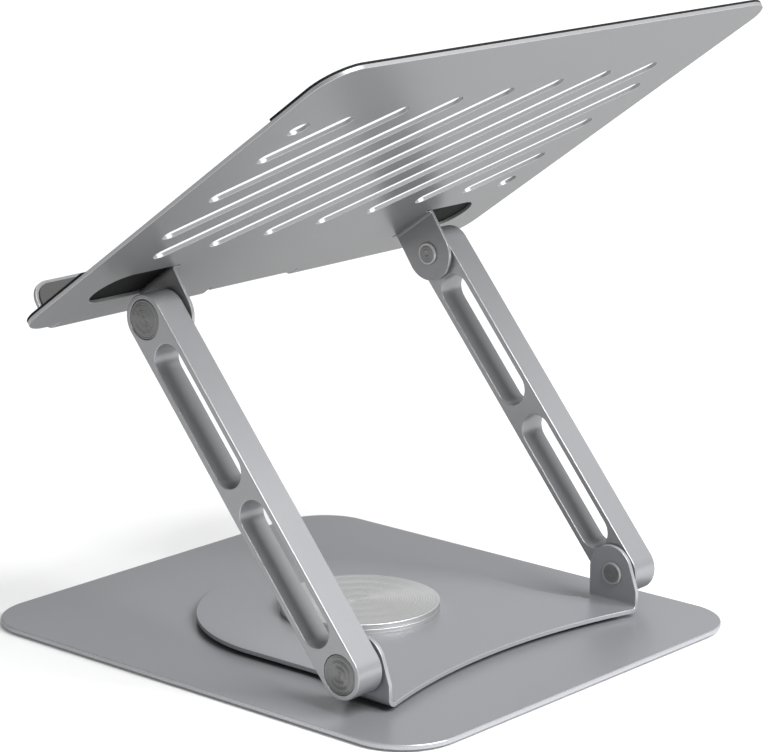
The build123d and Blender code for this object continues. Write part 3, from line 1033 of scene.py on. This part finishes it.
# ---- base and turntable ---------------------------------------------------------
@dataclass
class Base:
    """Rounded base plate with countersunk screws and four silicone feet."""

    corner: float = 26.7
    edge: float = 0.62
    screw_circle: float = 9.0
    screw_hole: float = 1.5
    screw_head: float = 2.9
    head_depth: float = 1.4
    socket_flats: float = 2.0
    foot_edge: float = 0.3
    screw_places: list[tuple[float, float]] = field(init=False)

    def __post_init__(self) -> None:
        """Work out the screw places round the axis."""
        self.screw_places = [tuple(p) for p in arc((0, 0), self.screw_circle, 45, 315, 4)]

    def build_plate(self) -> Surface:
        """Plate with four countersunk holes.

        Returns:
            The plate's surface.
        """
        low, high = node_box("base_plate")
        outline = rounded_box(low[:2], high[:2], [self.corner] * 4, 28)
        holes = [circle(p, self.screw_hole, 32)[::-1] for p in self.screw_places]
        flare = self.screw_head - self.screw_hole
        surface = Surface()
        surface.skin(outline, rounded_rows(low[2], high[2], self.edge, 5), 0.6)
        cone = 1 / math.hypot(flare, self.head_depth)
        for hole in holes:
            surface.skin(hole, np.array([
                [flare, low[2], self.head_depth * cone, -flare * cone],
                [0, low[2] + self.head_depth, self.head_depth * cone, -flare * cone]]))
            surface.skin(hole, np.array([[0, low[2] + self.head_depth, 1, 0],
                                         [0, high[2], 1, 0]]))
        rim = inset(outline, self.edge)
        surface.cap([rim] + [inset(hole, flare) for hole in holes], low[2], False)
        surface.cap([rim] + holes, high[2], True)
        return surface

    def build_foot(self, node: str) -> Surface:
        """Round-ended foot with softened edges.

        Args:
            node: The frame node that it stands for.

        Returns:
            The foot's surface.
        """
        low, high = node_box(node)
        size = high - low
        surface = Surface()
        surface.plate([stadium((low + high)[:2] / 2, size[0], size[1], 0.0, 20)],
                      low[2], high[2], self.foot_edge)
        return surface

    def build_screws(self) -> Surface:
        """Countersunk screws with hexagon sockets, seen from below.

        Returns:
            The screws' surface.
        """
        low, high = node_box("hub_screws")
        length = high[2] - low[2]
        head, shank, deep = self.screw_head, self.screw_hole, self.head_depth
        flare, cone = head - shank, 1 / math.hypot(head - shank, deep)
        screw = Surface()
        outline = circle((0, 0), head - 0.12, 36)
        slope = [deep * cone, -flare * cone]
        screw.skin(outline, np.array([[flare - 0.12, -deep] + slope, [0.0, -0.1] + slope]))
        screw.skin(outline, np.array([[0.0, -0.1, 1, 0], [0.06, 0.0, 0.4, 0.9]]))
        inner = inset(outline, flare - 0.12)
        screw.skin(inner, np.array([[0.25, -length, 0.7, -0.7],
                                    [0.0, -length + 0.3, 1, 0], [0.0, -deep, 1, 0]]))
        screw.cap([inset(inner, 0.25)], -length, False)
        socket = circle((0, 0), self.socket_flats / math.sqrt(3), 6)[::-1]
        screw.skin(socket, np.array([[0, -1.1, 1, 0], [0, 0, 1, 0]]))
        screw.cap([socket[::-1]], -1.1, True)
        screw.cap([inset(outline, 0.06), socket], 0.0, True)
        whole = Surface()
        for x, y in self.screw_places:
            whole.merged(screw.placed(axes((x, y, low[2] + 0.02), (1, 0, 0), (0, -1, 0),
                                           (0, 0, -1))))
        return whole

    def dress(self, sheet: bpy.types.Material, rubber: bpy.types.Material,
              zinc: bpy.types.Material) -> None:
        """Make the pieces and give them their finishes.

        Args:
            sheet: Finish of the plate.
            rubber: Finish of the feet.
            zinc: Finish of the screws.
        """
        settle(self.build_plate().made("base_deck"), sheet, "base", "sheet_aluminium",
               "base_plate")
        for row in ("front", "rear"):
            for hand in Hand:
                node = f"base_foot_{row}_{hand.word}"
                settle(self.build_foot(node).made(f"foot_{row}_{hand.word}"), rubber,
                       "base", "black_silicone", node)
        settle(self.build_screws().made("socket_screws"), zinc, "base", "zinc_steel",
               "hub_screws")


@dataclass
class Turntable:
    """Grooved disc on the bearing ring, and the bearing inside."""

    groove_pitch: float = 1.15
    groove_depth: float = 0.11
    land: float = 1.5
    rim_round: float = 0.3
    seam_round: float = 0.16
    steps: int = 144

    def build_disc(self) -> Surface:
        """Disc whose top height falls by a cosine wave of the radius.

        Returns:
            The disc's surface.
        """
        low, high = node_box("turntable_disc")
        radius, top, foot = high[0], high[2], low[2]
        inner = radius - self.land
        waves = int(inner / self.groove_pitch)
        reach = np.linspace(inner, 0, waves * 5 + 1)
        wave = 0.5 - 0.5 * np.cos(2 * np.pi * waves * reach / inner)
        fade = np.clip(reach / 1.5, 0, 1)
        face = np.stack([reach, top - self.groove_depth * wave * fade], axis=1)
        profile = np.concatenate([
            [[0.0, foot], [radius - 4, foot]],
            arc((radius - self.seam_round, foot + self.seam_round), self.seam_round,
                -90, 0, 4),
            arc((radius - self.rim_round, top - self.rim_round), self.rim_round, 0, 90, 5),
            face])
        surface = Surface()
        surface.turned(profile, self.steps, 40.0)
        return surface

    def build_ring(self) -> Surface:
        """Ring under the disc, a closed rounded section turned about the axis.

        Returns:
            The ring's surface.
        """
        low, high = node_box("bearing_ring")
        cage_high = node_box("ball_cage")[1]
        radius, hole, soft = high[0], cage_high[0] + 1.0, self.seam_round
        profile = np.concatenate([
            [[hole, high[2]], [hole, low[2]]],
            arc((radius - soft, low[2] + soft), soft, -90, 0, 4),
            arc((radius - soft, high[2] - soft), soft, 0, 90, 4),
            [[hole, high[2]]]])
        surface = Surface()
        surface.turned(profile, self.steps, 40.0)
        return surface

    def dress(self, spun: bpy.types.Material, bar: bpy.types.Material,
              steel: bpy.types.Material, zinc: bpy.types.Material,
              acetal: bpy.types.Material) -> None:
        """Make the pieces and give them their finishes.

        Args:
            spun: Finish of the disc and the ring.
            bar: Finish of the hub.
            steel: Finish of the balls.
            zinc: Finish of the rivets.
            acetal: Finish of the cage and the glide ring.
        """
        settle(self.build_disc().made("turntable_top"), spun, "base", "spun_aluminium",
               "turntable_disc")
        settle(self.build_ring().made("turntable_ring"), spun, "swivel",
               "spun_aluminium", "bearing_ring")
        for node, material in (("turntable_hub", bar), ("bearing_balls", steel),
                               ("ring_rivets", zinc), ("ball_cage", acetal),
                               ("glide_ring", acetal)):
            dress(node, material)


# ---- sheet parts ----------------------------------------------------------------
@dataclass
class SwivelPlate:
    """Sheet that turns on the hub, with an ear bent up at each rear corner."""

    edge: float = 0.3
    lobe: float = 72.5
    waist: tuple[float, float] = (72.0, 36.0)
    flare: tuple[float, float] = (77.5, 62.0)
    rear: float = 80.0
    bend: float = 1.8
    ear_half: float = 12.7
    ear_rear: float = 13.2
    notch: float = 2.6
    pin_hole: float = 3.0
    hub_hole: float = 15.0

    def fold(self, hand: Hand) -> Fold:
        """The bend at the foot of one ear."""
        low, high = node_box("swivel_plate")
        ring_low = node_box("bearing_ring")[0]
        thick = ring_low[2] - low[2]
        pivot = hinge_line("arm_lift")[1]
        return Fold(0, hand.value, high[0] - self.bend - thick, self.bend, thick, True,
                    (pivot - self.ear_half - 2.8, pivot + self.ear_rear + 0.3))

    def half_outline(self, fold: Fold, tip: float, pivot: float) -> np.ndarray:
        """Right-hand half of the blank, from the front of the lobe to the rear edge.

        Args:
            fold: The ear's bend.
            tip: How far out the blank's pin hole is.
            pivot: Where the pin hole is along the side.

        Returns:
            Points of the half outline.
        """
        start, front = fold.start, pivot - self.ear_half
        notch = (start + 1.2, front - 1.0)
        low = math.degrees(math.atan2(-math.sqrt(self.notch ** 2 - 1.44), -1.2))
        high = math.degrees(math.asin(1.0 / self.notch)) - 360
        return np.concatenate([
            arc((0, 0), self.lobe, -90, 0, 60),
            bow(self.waist, (73.4, 50.0), self.flare, 14),
            [[start, self.flare[1]]],
            arc(notch, self.notch, low, high, 22),
            tongue((tip, pivot), self.ear_half, self.ear_rear),
            [[start, pivot + self.ear_rear]]])

    def build(self) -> Surface:
        """Blank with its holes, folded.

        Returns:
            The plate's surface.
        """
        low, _ = node_box("swivel_plate")
        pivot = hinge_line("arm_lift")
        folds = [self.fold(hand) for hand in Hand]
        thick = folds[0].thick
        straight = low[2] + thick + self.bend
        tip = folds[0].start + folds[0].length + pivot[2] - straight
        half = self.half_outline(folds[0], tip, pivot[1])
        rear = bow(half[-1], (0.0, self.rear), half[-1] * (-1, 1), 60)[1:-1]
        outline = np.concatenate([half, rear, half[1:][::-1] * (-1, 1)])
        for fold in folds:
            outline = divided(outline, 0, fold.lines(), fold.span)
        rivets = arc((0, 0), 30.5, 0, 270, 4)
        holes = [circle((0, 0), self.hub_hole, 72)[::-1]]
        holes += [circle(p, 1.5, 20)[::-1] for p in rivets]
        holes += [circle((h.value * tip, pivot[1]), self.pin_hole, 32)[::-1] for h in Hand]
        surface = Surface()
        surface.plate([outline] + holes, 0.0, thick, self.edge, folds)
        return surface.placed(axes((0, 0, low[2]), (1, 0, 0), (0, 1, 0), (0, 0, 1)))

    def dress(self, sheet: bpy.types.Material) -> None:
        """Make the piece and give it its finish."""
        settle(self.build().made("swivel_sheet"), sheet, "swivel", "sheet_aluminium",
               "swivel_plate")


@dataclass
class Platform:
    """Slotted sheet with two ears bent down, two stops bent up, and silicone pads."""

    tilt: float = 34.7
    low_run: float = 30.3
    drop: float = 15.75
    depth: float = 221.2
    thick: float = 1.7
    corner: float = 16.5
    edge: float = 0.3
    ear_half: float = 12.7
    ear_bend: float = 1.5
    ear_face: float = 83.0
    pin_hole: float = 3.0
    cutout_tip: float = 117.6
    cutout_gap: float = 0.4
    relief_hole: float = 1.1
    vent_width: float = 9.5
    vent_pitch: float = 32.4
    vent_count: int = 12
    vent_middle: float = 116.7
    vent_half: float = 57.7
    vent_side: float = 117.6
    hook_in: float = 28.0
    hook_out: float = 117.0
    hook_height: float = 22.0
    hook_reach: float = 6.3
    hook_bend: float = 2.5
    hook_corner: float = 9.0
    relief: float = 1.4
    pad_thick: float = 1.0
    front_pad: float = 52.0
    rear_pad: float = 181.0
    liner_inset: float = 1.6
    liner_gap: float = 0.6

    @property
    def half_width(self) -> float:
        """Half the platform's width."""
        return float(node_box("platform_plate")[1][0])

    @property
    def ear_tip(self) -> float:
        """How far out the centre of an ear's round end is on the blank."""
        bend = (self.ear_bend + self.thick / 2) * math.pi / 2
        return self.ear_face - self.ear_bend - self.thick + bend + self.drop - self.ear_bend

    def place(self) -> np.ndarray:
        """Where the flat drawing goes: turned by the tilt about the upper hinge line."""
        pivot = hinge_line("platform_tilt")
        c, s = math.cos(math.radians(self.tilt)), math.sin(math.radians(self.tilt))
        up_slope, square = np.array([0, c, s]), np.array([0, -s, c])
        origin = np.array([0, pivot[1], pivot[2]]) - self.low_run * up_slope \
            + self.drop * square
        return axes(origin, (1, 0, 0), up_slope, square)

    def folds(self) -> list[Fold]:
        """Bends of both ears and both stops."""
        ears = [Fold(0, hand.value, self.ear_face - self.ear_bend - self.thick,
                     self.ear_bend, self.thick, False,
                     (self.low_run - self.ear_half - 0.15,
                      self.low_run + self.ear_half + 0.15), self.ear_tip) for hand in Hand]
        spans = [tuple(sorted((h.value * (self.hook_in - 0.3),
                               h.value * (self.hook_out + 0.3)))) for h in Hand]
        start = self.hook_reach - self.hook_bend - self.thick
        hooks = [Fold(1, -1.0, start, self.hook_bend, self.thick, True, span)
                 for span in spans]
        return ears + hooks

    def outline(self, hook: Fold) -> np.ndarray:
        """Edge of the blank, with both stops unrolled in front of the low edge.

        Args:
            hook: The bend of a stop.

        Returns:
            Outline, anticlockwise.
        """
        wide, r, slot = self.half_width, self.corner, self.relief / 2
        tip = -(hook.start + hook.length + self.hook_height - self.hook_bend - self.thick)
        turn, deep = self.hook_corner, 3.0 - slot
        tab = np.concatenate([
            arc((self.hook_in - slot, deep), slot, 180, 0, 8),
            arc((self.hook_in + turn, tip + turn), turn, 180, 270, 14),
            arc((self.hook_out - turn, tip + turn), turn, 270, 360, 14),
            arc((self.hook_out + slot, deep), slot, 180, 0, 8),
            [[self.hook_out + 2 * slot, 0.0]]])
        right = np.concatenate([[[self.hook_in - 2 * slot, 0.0]], tab])
        left = right[::-1] * (-1, 1)
        rest = rounded_box((-wide, 0), (wide, self.depth), [r] * 4, 24)
        return np.concatenate([rest[:24], left, right, rest[24:]])

    def vents(self) -> list[np.ndarray]:
        """Slanted slots cut off by a rectangle, and a round hole in two of its corners.

        Returns:
            Their outlines, clockwise.
        """
        across = (np.arange(self.vent_count) - (self.vent_count - 1) / 2) * self.vent_pitch
        low = np.maximum(-self.vent_half, -self.vent_side - across)
        high = np.minimum(self.vent_half, self.vent_side - across)
        keep = high - low > self.vent_width
        middle = (low + high) / 2
        slots = [stadium((-(a + m), self.vent_middle + m), length * math.sqrt(2),
                         self.vent_width, -45.0, 14)[::-1]
                 for a, m, length in zip(across[keep], middle[keep], (high - low)[keep])]
        holes = [circle((sign * self.vent_side, self.vent_middle
                         + sign * (self.vent_half - self.vent_width / 4)),
                        self.vent_width / 2, 32)[::-1] for sign in (-1, 1)]
        return slots + holes

    def ear_hole(self, ear: Fold, hand: Hand) -> np.ndarray:
        """Gap that frees one ear: round its unrolled tongue and back along the cut-out.

        Args:
            ear: The ear's bend.
            hand: Its side.

        Returns:
            Outline, clockwise round the gap.
        """
        start, mid, half, r = ear.start, self.low_run, self.ear_half, self.relief_hole
        wide = half + self.cutout_gap
        shy = math.degrees(math.asin(self.cutout_gap / r))
        far = self.cutout_tip - wide
        loop = np.concatenate([
            arc((start, mid - half), r, -shy, -360, 18)[::-1],
            arc((far, mid), wide, -90, 90, 40),
            arc((start, mid + half), r, shy, 360, 18),
            arc((self.ear_tip, mid), half, 90, -90, 40)])
        loop = loop if hand is Hand.LEFT else loop[::-1] * (-1, 1)
        area = (loop[:, 0] * np.roll(loop[:, 1], -1) - loop[:, 1] * np.roll(loop[:, 0], -1))
        return loop if area.sum() < 0 else loop[::-1]

    def build_sheet(self) -> Surface:
        """Blank with its vents, gaps and pin holes, folded and put in place.

        Returns:
            The sheet's surface.
        """
        folds = self.folds()
        ear, hook = folds[0], folds[2]
        gaps = [self.ear_hole(ear, hand) for hand in Hand]
        for fold in folds[:2]:
            gaps = [divided(gap, 0, fold.lines(), fold.span) for gap in gaps]
        outline = self.outline(hook)
        for fold in folds[2:]:
            outline = divided(outline, 1, fold.lines(), fold.span)
        pins = [circle((h.value * self.ear_tip, self.low_run), self.pin_hole, 32)[::-1]
                for h in Hand]
        surface = Surface()
        surface.plate([outline] + self.vents() + gaps + pins, 0.0, self.thick, self.edge,
                      folds)
        return surface.placed(self.place())

    def build_pad(self, low: float, high: float, corners: Sequence[float]) -> Surface:
        """Silicone strip on the sheet, with softened edges.

        Args:
            low: Where it starts up the slope.
            high: Where it ends.
            corners: Its corner radii.

        Returns:
            The pad's surface.
        """
        surface = Surface()
        surface.plate([rounded_box((-self.half_width, low), (self.half_width, high),
                                   corners, 20)],
                      self.thick, self.thick + self.pad_thick, 0.28)
        return surface.placed(self.place())

    def build_liner(self, hand: Hand) -> Surface:
        """Silicone strip on the inner face of one stop.

        Args:
            hand: Its side.

        Returns:
            The liner's surface.
        """
        low = self.thick + self.hook_bend + self.liner_gap
        high = self.hook_height - self.liner_inset
        turn = self.hook_corner - self.liner_inset
        surface = Surface()
        surface.plate([rounded_box((self.hook_in + self.liner_inset, low),
                                   (self.hook_out - self.liner_inset, high),
                                   (0.8, 0.8, turn, turn), 12)], 0.0, self.pad_thick, 0.28)
        upright = axes((0, -self.hook_reach + self.thick + self.pad_thick, 0),
                       (1, 0, 0), (0, 0, 1), (0, -1, 0))
        return surface.placed(mirror_x(self.place() @ upright, hand))

    def dress(self, sheet: bpy.types.Material, rubber: bpy.types.Material,
              charcoal: bpy.types.Material) -> None:
        """Make the pieces and give them their finishes.

        Args:
            sheet: Finish of the sheet.
            rubber: Finish of the pads.
            charcoal: Finish of the liners.
        """
        settle(self.build_sheet().made("platform_sheet"), sheet, "platform",
               "sheet_aluminium", "platform_plate")
        r = self.corner
        settle(self.build_pad(0.0, self.front_pad, (r, r, 0.6, 0.6)).made("front_grip"),
               rubber, "platform", "black_silicone", "front_pad")
        settle(self.build_pad(self.rear_pad, self.depth, (0.6, 0.6, r, r)).made(
            "rear_grip"), rubber, "platform", "black_silicone", "rear_pad")
        for hand in Hand:
            settle(self.build_liner(hand).made(f"stop_grip_{hand.word}"), charcoal,
                   "platform", "black_silicone", f"hook_liner_{hand.word}")


# ---- arms and hinges ------------------------------------------------------------
@dataclass
class Arms:
    """Two flat bars, each with two long slots and a recess for the hinge at both ends."""

    half: float = 10.7
    slot_half: float = 8.0
    slot_start: float = 13.4
    bridge: float = 7.6
    edge: float = 0.5
    recess: float = 8.65
    recess_depth: float = 8.5
    bore: float = 3.05

    def build(self) -> tuple[Surface, np.ndarray]:
        """Bar drawn along its own length, with its lower pivot at the origin.

        Returns:
            The bar's surface, and the place of the left bar.
        """
        lower, upper = hinge_line("arm_lift"), hinge_line("platform_tilt")
        low, high = node_box("arm_left")
        reach = upper[1:] - lower[1:]
        length = float(np.linalg.norm(reach))
        thick, along = float(high[0] - low[0]), reach / length
        slot = (length - 2 * self.slot_start - self.bridge) / 2
        slots = [stadium((self.slot_start + slot / 2 + i * (slot + self.bridge), 0), slot,
                         2 * self.slot_half, 0.0, 24)[::-1] for i in (0, 1)]
        outline = stadium((length / 2, 0), length + 2 * self.half, 2 * self.half, 0.0, 40)
        ends = [circle((x, 0), self.recess, 64)[::-1] for x in (0.0, length)]
        rows = rounded_rows(0.0, thick, self.edge, 5)
        surface = Surface()
        for loop in [outline] + slots:
            surface.skin(loop, rows)
        soft, step = 0.25, self.recess - self.bore
        floor = thick - self.recess_depth
        for loop in ends:
            surface.skin(loop, rounded_rows(floor, thick, soft, 3)[4:])
            surface.skin(loop, np.array([[0, floor, 1, 0], [0, thick - soft, 1, 0]]))
            surface.skin(loop, np.array([[-step, floor, 0, 1], [0, floor, 0, 1]]))
            surface.skin(loop, np.array([[-step, 0, 1, 0], [-step, floor, 1, 0]]))
        rims = [inset(loop, self.edge) for loop in [outline] + slots]
        surface.cap(rims + [inset(loop, -step) for loop in ends], 0.0, False)
        surface.cap(rims + [inset(loop, soft) for loop in ends], thick, True)
        x_axis = np.array([0, along[0], along[1]])
        z_axis = np.array([1.0, 0, 0])
        place = axes((low[0], lower[1], lower[2]), x_axis, np.cross(z_axis, x_axis), z_axis)
        return surface, place

    def dress(self, bar: bpy.types.Material) -> None:
        """Make both arms and give them their finish."""
        surface, place = self.build()
        for hand in Hand:
            piece = surface.placed(mirror_x(place, hand)).made(f"swing_arm_{hand.word}")
            settle(piece, bar, f"arm_{hand.word}", "arm_aluminium", f"arm_{hand.word}")


@dataclass
class Hinges:
    """Hardware of the four friction hinges."""

    head: float = 5.2
    head_thick: float = 1.1
    head_chamfer: float = 0.42
    cover_chamfer: float = 0.35

    def line(self, level: Level) -> np.ndarray:
        """Place of a hinge line."""
        return hinge_line("arm_lift" if level is Level.LOWER else "platform_tilt")

    def outward(self, x: float, level: Level) -> np.ndarray:
        """Place of a turned drawing whose z runs outwards along the hinge line."""
        line = self.line(level)
        return axes((x, line[1], line[2]), (0, 1, 0), (0, 0, 1), (1, 0, 0))

    def build_pin(self, node: str) -> Surface:
        """Pin with a chamfered, finely turned head, drawn from its tip to its head.

        Args:
            node: The frame node of the left pin.

        Returns:
            The pin's surface, with z towards its tip.
        """
        low, high = node_box(node)
        length, c = high[0] - low[0], self.head_chamfer
        shank = 3.0
        profile = np.array([
            [0.0, 0.06], [1.1, 0.06], [1.3, 0.0], [2.2, 0.0], [2.35, 0.05], [2.5, 0.0],
            [3.4, 0.0], [3.55, 0.05], [3.7, 0.0], [self.head - c, 0.0], [self.head, c],
            [self.head, self.head_thick], [shank, self.head_thick],
            [shank, length - 0.3], [shank - 0.3, length], [0.0, length]])
        surface = Surface()
        # Rows 9 and 10 are the head's chamfer, painted brighter as a highlight.
        surface.turned(profile, 56, highlight_rows=(9, 10))
        return surface

    def build_cover(self, node: str) -> Surface:
        """Cover whose face falls in fine rings towards a small centre dimple.

        Args:
            node: The frame node of the left cover.

        Returns:
            The cover's surface, with z outwards.
        """
        low, high = node_box(node)
        radius, thick, c = (high[1] - low[1]) / 2, high[0] - low[0], self.cover_chamfer
        reach = np.linspace(radius - c - 0.5, 0, 49)
        wave = 0.5 - 0.5 * np.cos(2 * np.pi * 8 * reach / reach[0])
        face = np.stack([reach, thick - 0.05 * wave * np.clip(reach / 2, 0, 1)], axis=1)
        profile = np.concatenate([
            [[0.0, 0.0], [radius - 0.15, 0.0], [radius - 0.03, 0.15],
             [radius - 0.03, thick - c], [radius - c, thick]], face])
        surface = Surface()
        surface.turned(profile, 72, 40.0)
        return surface

    def dress(self, pin: bpy.types.Material, covers: dict[Level, bpy.types.Material],
              zinc: bpy.types.Material, spring: bpy.types.Material,
              acetal: bpy.types.Material) -> None:
        """Make pins and covers, and give all the hardware its finishes.

        Args:
            pin: Finish of the pins.
            covers: Finish of the covers at each level.
            zinc: Finish of nuts and friction washers.
            spring: Finish of the disc springs.
            acetal: Finish of the spacers.
        """
        for level in Level:
            body = "swivel" if level is Level.LOWER else "platform"
            pin_node, cover_node = (f"{kind}_{level.value}_left"
                                    for kind in ("hinge_pin", "pivot_cover"))
            pin_shape, cover_shape = self.build_pin(pin_node), self.build_cover(cover_node)
            pin_place = self.outward(node_box(pin_node)[0][0], level)
            cover_place = self.outward(node_box(cover_node)[0][0], level)
            for hand in Hand:
                end = f"{level.value}_{hand.word}"
                settle(pin_shape.placed(mirror_x(pin_place, hand)).made(f"pin_{end}"),
                       pin, body, "pin_steel", f"hinge_pin_{end}")
                settle(cover_shape.placed(mirror_x(cover_place, hand)).made(
                    f"cap_{end}"), covers[level], f"arm_{hand.word}", "cover_aluminium",
                    f"pivot_cover_{end}")
                for kind, material in (("spacer", acetal), ("friction_washer", zinc),
                                       ("spring_washers", spring), ("lock_nut", zinc)):
                    dress(f"{kind}_{end}", material)


# ---- studio ---------------------------------------------------------------------
@dataclass(frozen=True)
class Softbox:
    """Square area light that looks at the middle of the stand."""

    name: str
    place: tuple[float, float, float]
    size: float
    power: float

    def hang(self, target: Vector) -> None:
        """Make the light and turn it to its target."""
        lamp = bpy.data.lights.new(self.name, "AREA")
        lamp.shape, lamp.size, lamp.energy = "SQUARE", self.size, self.power
        lit = bpy.data.objects.new(self.name, lamp)
        lit.location = self.place
        aim = (target - Vector(self.place)).to_track_quat("-Z", "Y")
        lit.rotation_euler = aim.to_euler()
        bpy.context.scene.collection.objects.link(lit)


@dataclass
class Studio:
    """Pale floor, white surroundings, soft lights and the camera."""

    floor_half: float = 6.0
    floor_drop: float = 0.0002
    floor_glow: float = 0.6
    glow_reach: tuple[float, float] = (0.35, 3.2)
    ambient: float = 0.33
    camera_place: tuple[float, float, float] = (0.94556, 0.86177, 0.43235)
    azimuth: float = 132.0267
    elevation: float = 14.1005
    roll: float = -0.1959
    lens: float = 142.53
    shift: tuple[float, float] = (0.0096, 0.00681)
    softboxes: tuple[Softbox, ...] = (
        Softbox("rear_softbox", (-0.15, 1.45, 1.65), 1.6, 98.0),
        Softbox("high_softbox", (-0.5, 0.3, 2.3), 1.8, 9.0),
        Softbox("front_softbox", (-1.5, -1.35, 1.1), 1.6, 4.0),
    )

    def lay_floor(self) -> None:
        """Flat pale floor just under the feet, kept out of the object, with a painted glow
        that makes it whiter far out.

        A point is at u and v, each from -floor_half to floor_half.
        """
        span = np.linspace(-self.floor_half, self.floor_half, 25)
        u, v = np.meshgrid(span, span, indexing="ij")
        points = np.stack([u, v, np.full_like(u, -self.floor_drop)], -1)
        n = len(span)
        base = (np.arange(n - 1)[:, None] * n + np.arange(n - 1)).ravel()
        faces = np.stack([base, base + n, base + n + 1, base + 1], axis=1)
        mesh = bpy.data.meshes.new("studio_floor")
        mesh.from_pydata(points.reshape(-1, 3).tolist(), [], faces.tolist())
        floor = bpy.data.objects.new("studio_floor", mesh)
        bpy.context.scene.collection.objects.link(floor)
        recipe = Recipe("pale_floor")
        tone = recipe.noise(0.7, 1.0)
        far = recipe.around(Axis.Z, (0.0, 0.0, 0.0))[0].clipped(*self.glow_reach)
        mesh.materials.append(recipe.finish(
            Base_Color=recipe.blend(tone, grey(0.75), grey(0.78)), Roughness=0.9,
            Specular_IOR_Level=0.1, Emission_Strength=self.floor_glow,
            Emission_Color=recipe.blend(far, grey(0.15), grey(1.3))))

    def light(self) -> None:
        """Even surroundings and softboxes."""
        world = bpy.data.worlds.new("studio")
        bpy.context.scene.world = world
        world.use_nodes = True
        tree = world.node_tree
        tree.nodes.clear()
        seen = tree.nodes.new("ShaderNodeBackground")
        seen.inputs["Color"].default_value = (1, 1, 1, 1)
        lit = tree.nodes.new("ShaderNodeBackground")
        lit.inputs["Color"].default_value = (0.985, 0.99, 1.0, 1)
        lit.inputs["Strength"].default_value = self.ambient
        path = tree.nodes.new("ShaderNodeLightPath")
        mix = tree.nodes.new("ShaderNodeMixShader")
        out = tree.nodes.new("ShaderNodeOutputWorld")
        tree.links.new(path.outputs["Is Camera Ray"], mix.inputs[0])
        tree.links.new(lit.outputs[0], mix.inputs[1])
        tree.links.new(seen.outputs[0], mix.inputs[2])
        tree.links.new(mix.outputs[0], out.inputs["Surface"])
        low, high = CAD_BOX
        for box in self.softboxes:
            box.hang((low + high) / 2)

    def set_camera(self) -> None:
        """Camera from its azimuth, elevation and roll."""
        az, el = math.radians(self.azimuth), math.radians(self.elevation)
        back = Vector((math.sin(az) * math.cos(el), -math.cos(az) * math.cos(el),
                       math.sin(el)))
        right = (-back).cross(Vector((0, 0, 1))).normalized()
        up = right.cross(-back)
        c, s = math.cos(math.radians(self.roll)), math.sin(math.radians(self.roll))
        turned = Matrix((c * right + s * up, c * up - s * right, back)).transposed()
        data = bpy.data.cameras.new("stand_camera")
        data.lens, data.sensor_width = self.lens, 36.0
        data.shift_x, data.shift_y = self.shift
        data.clip_start, data.clip_end = 0.05, 50.0
        camera = bpy.data.objects.new("stand_camera", data)
        camera.matrix_world = Matrix.Translation(self.camera_place) @ turned.to_4x4()
        bpy.context.scene.collection.objects.link(camera)
        bpy.context.scene.camera = camera

    def set_view(self) -> None:
        """Plain display of colour, so that tones come out as they are lit."""
        bpy.context.scene.view_settings.view_transform = "Standard"


def main() -> None:
    """Build the stand class by class, then the studio."""
    logging.basicConfig(level=logging.INFO, format="%(name)s: %(message)s")
    studio = Studio()
    studio.set_camera()
    lower, upper = (tuple(hinge_line(j) * MM) for j in ("arm_lift", "platform_tilt"))
    sheet = SatinAnodised("anodised_sheet", 0.31, 0.46, warmth=-0.05).made()
    # Darker copy of the sheet finish for the platform: painted shade that darkens its
    # underside.
    sheet_painted_shade = SatinAnodised("anodised_sheet_painted_shade", 0.235, 0.44, warmth=-0.02).made()
    bar = SatinAnodised("anodised_bar", 0.305, 0.38).made()
    spun = SpunMetal("spun_disc", 0.6, 0.34, 0.00055, Axis.Z, (0, 0, 0),
                     metallic=0.85, brushed=0.75).made()
    covers = {
        Level.LOWER: SpunMetal("spun_cover_lower", 0.17, 0.3, 0.0007, Axis.X, lower,
                               0.7).made(),
        Level.UPPER: SpunMetal("spun_cover_upper", 0.17, 0.3, 0.0007, Axis.X, upper,
                               0.7).made()}
    pin = PlatedSteel("turned_pin", 0.19, 0.32, metallic=0.6).made()
    zinc = PlatedSteel("zinc_plate", 0.55, 0.3, 0.02).made()
    spring = PlatedSteel("oiled_spring", 0.2, 0.25, 0.03).made()
    ball = PlatedSteel("polished_ball", 0.7, 0.1, 0.0, 0.02).made()
    rubber = MattRubber("black_rubber").made()
    charcoal = MattRubber("charcoal_rubber", 0.06, 0.66, 0.25).made()
    acetal = MouldedAcetal("black_acetal").made()
    Base().dress(sheet, rubber, zinc)
    Turntable().dress(spun, bar, ball, zinc, acetal)
    SwivelPlate().dress(sheet)
    Arms().dress(bar)
    Hinges().dress(pin, covers, zinc, spring, acetal)
    Platform().dress(sheet_painted_shade, rubber, charcoal)
    studio.lay_floor()
    studio.light()
    studio.set_view()


if __name__ == "__main__":
    main()
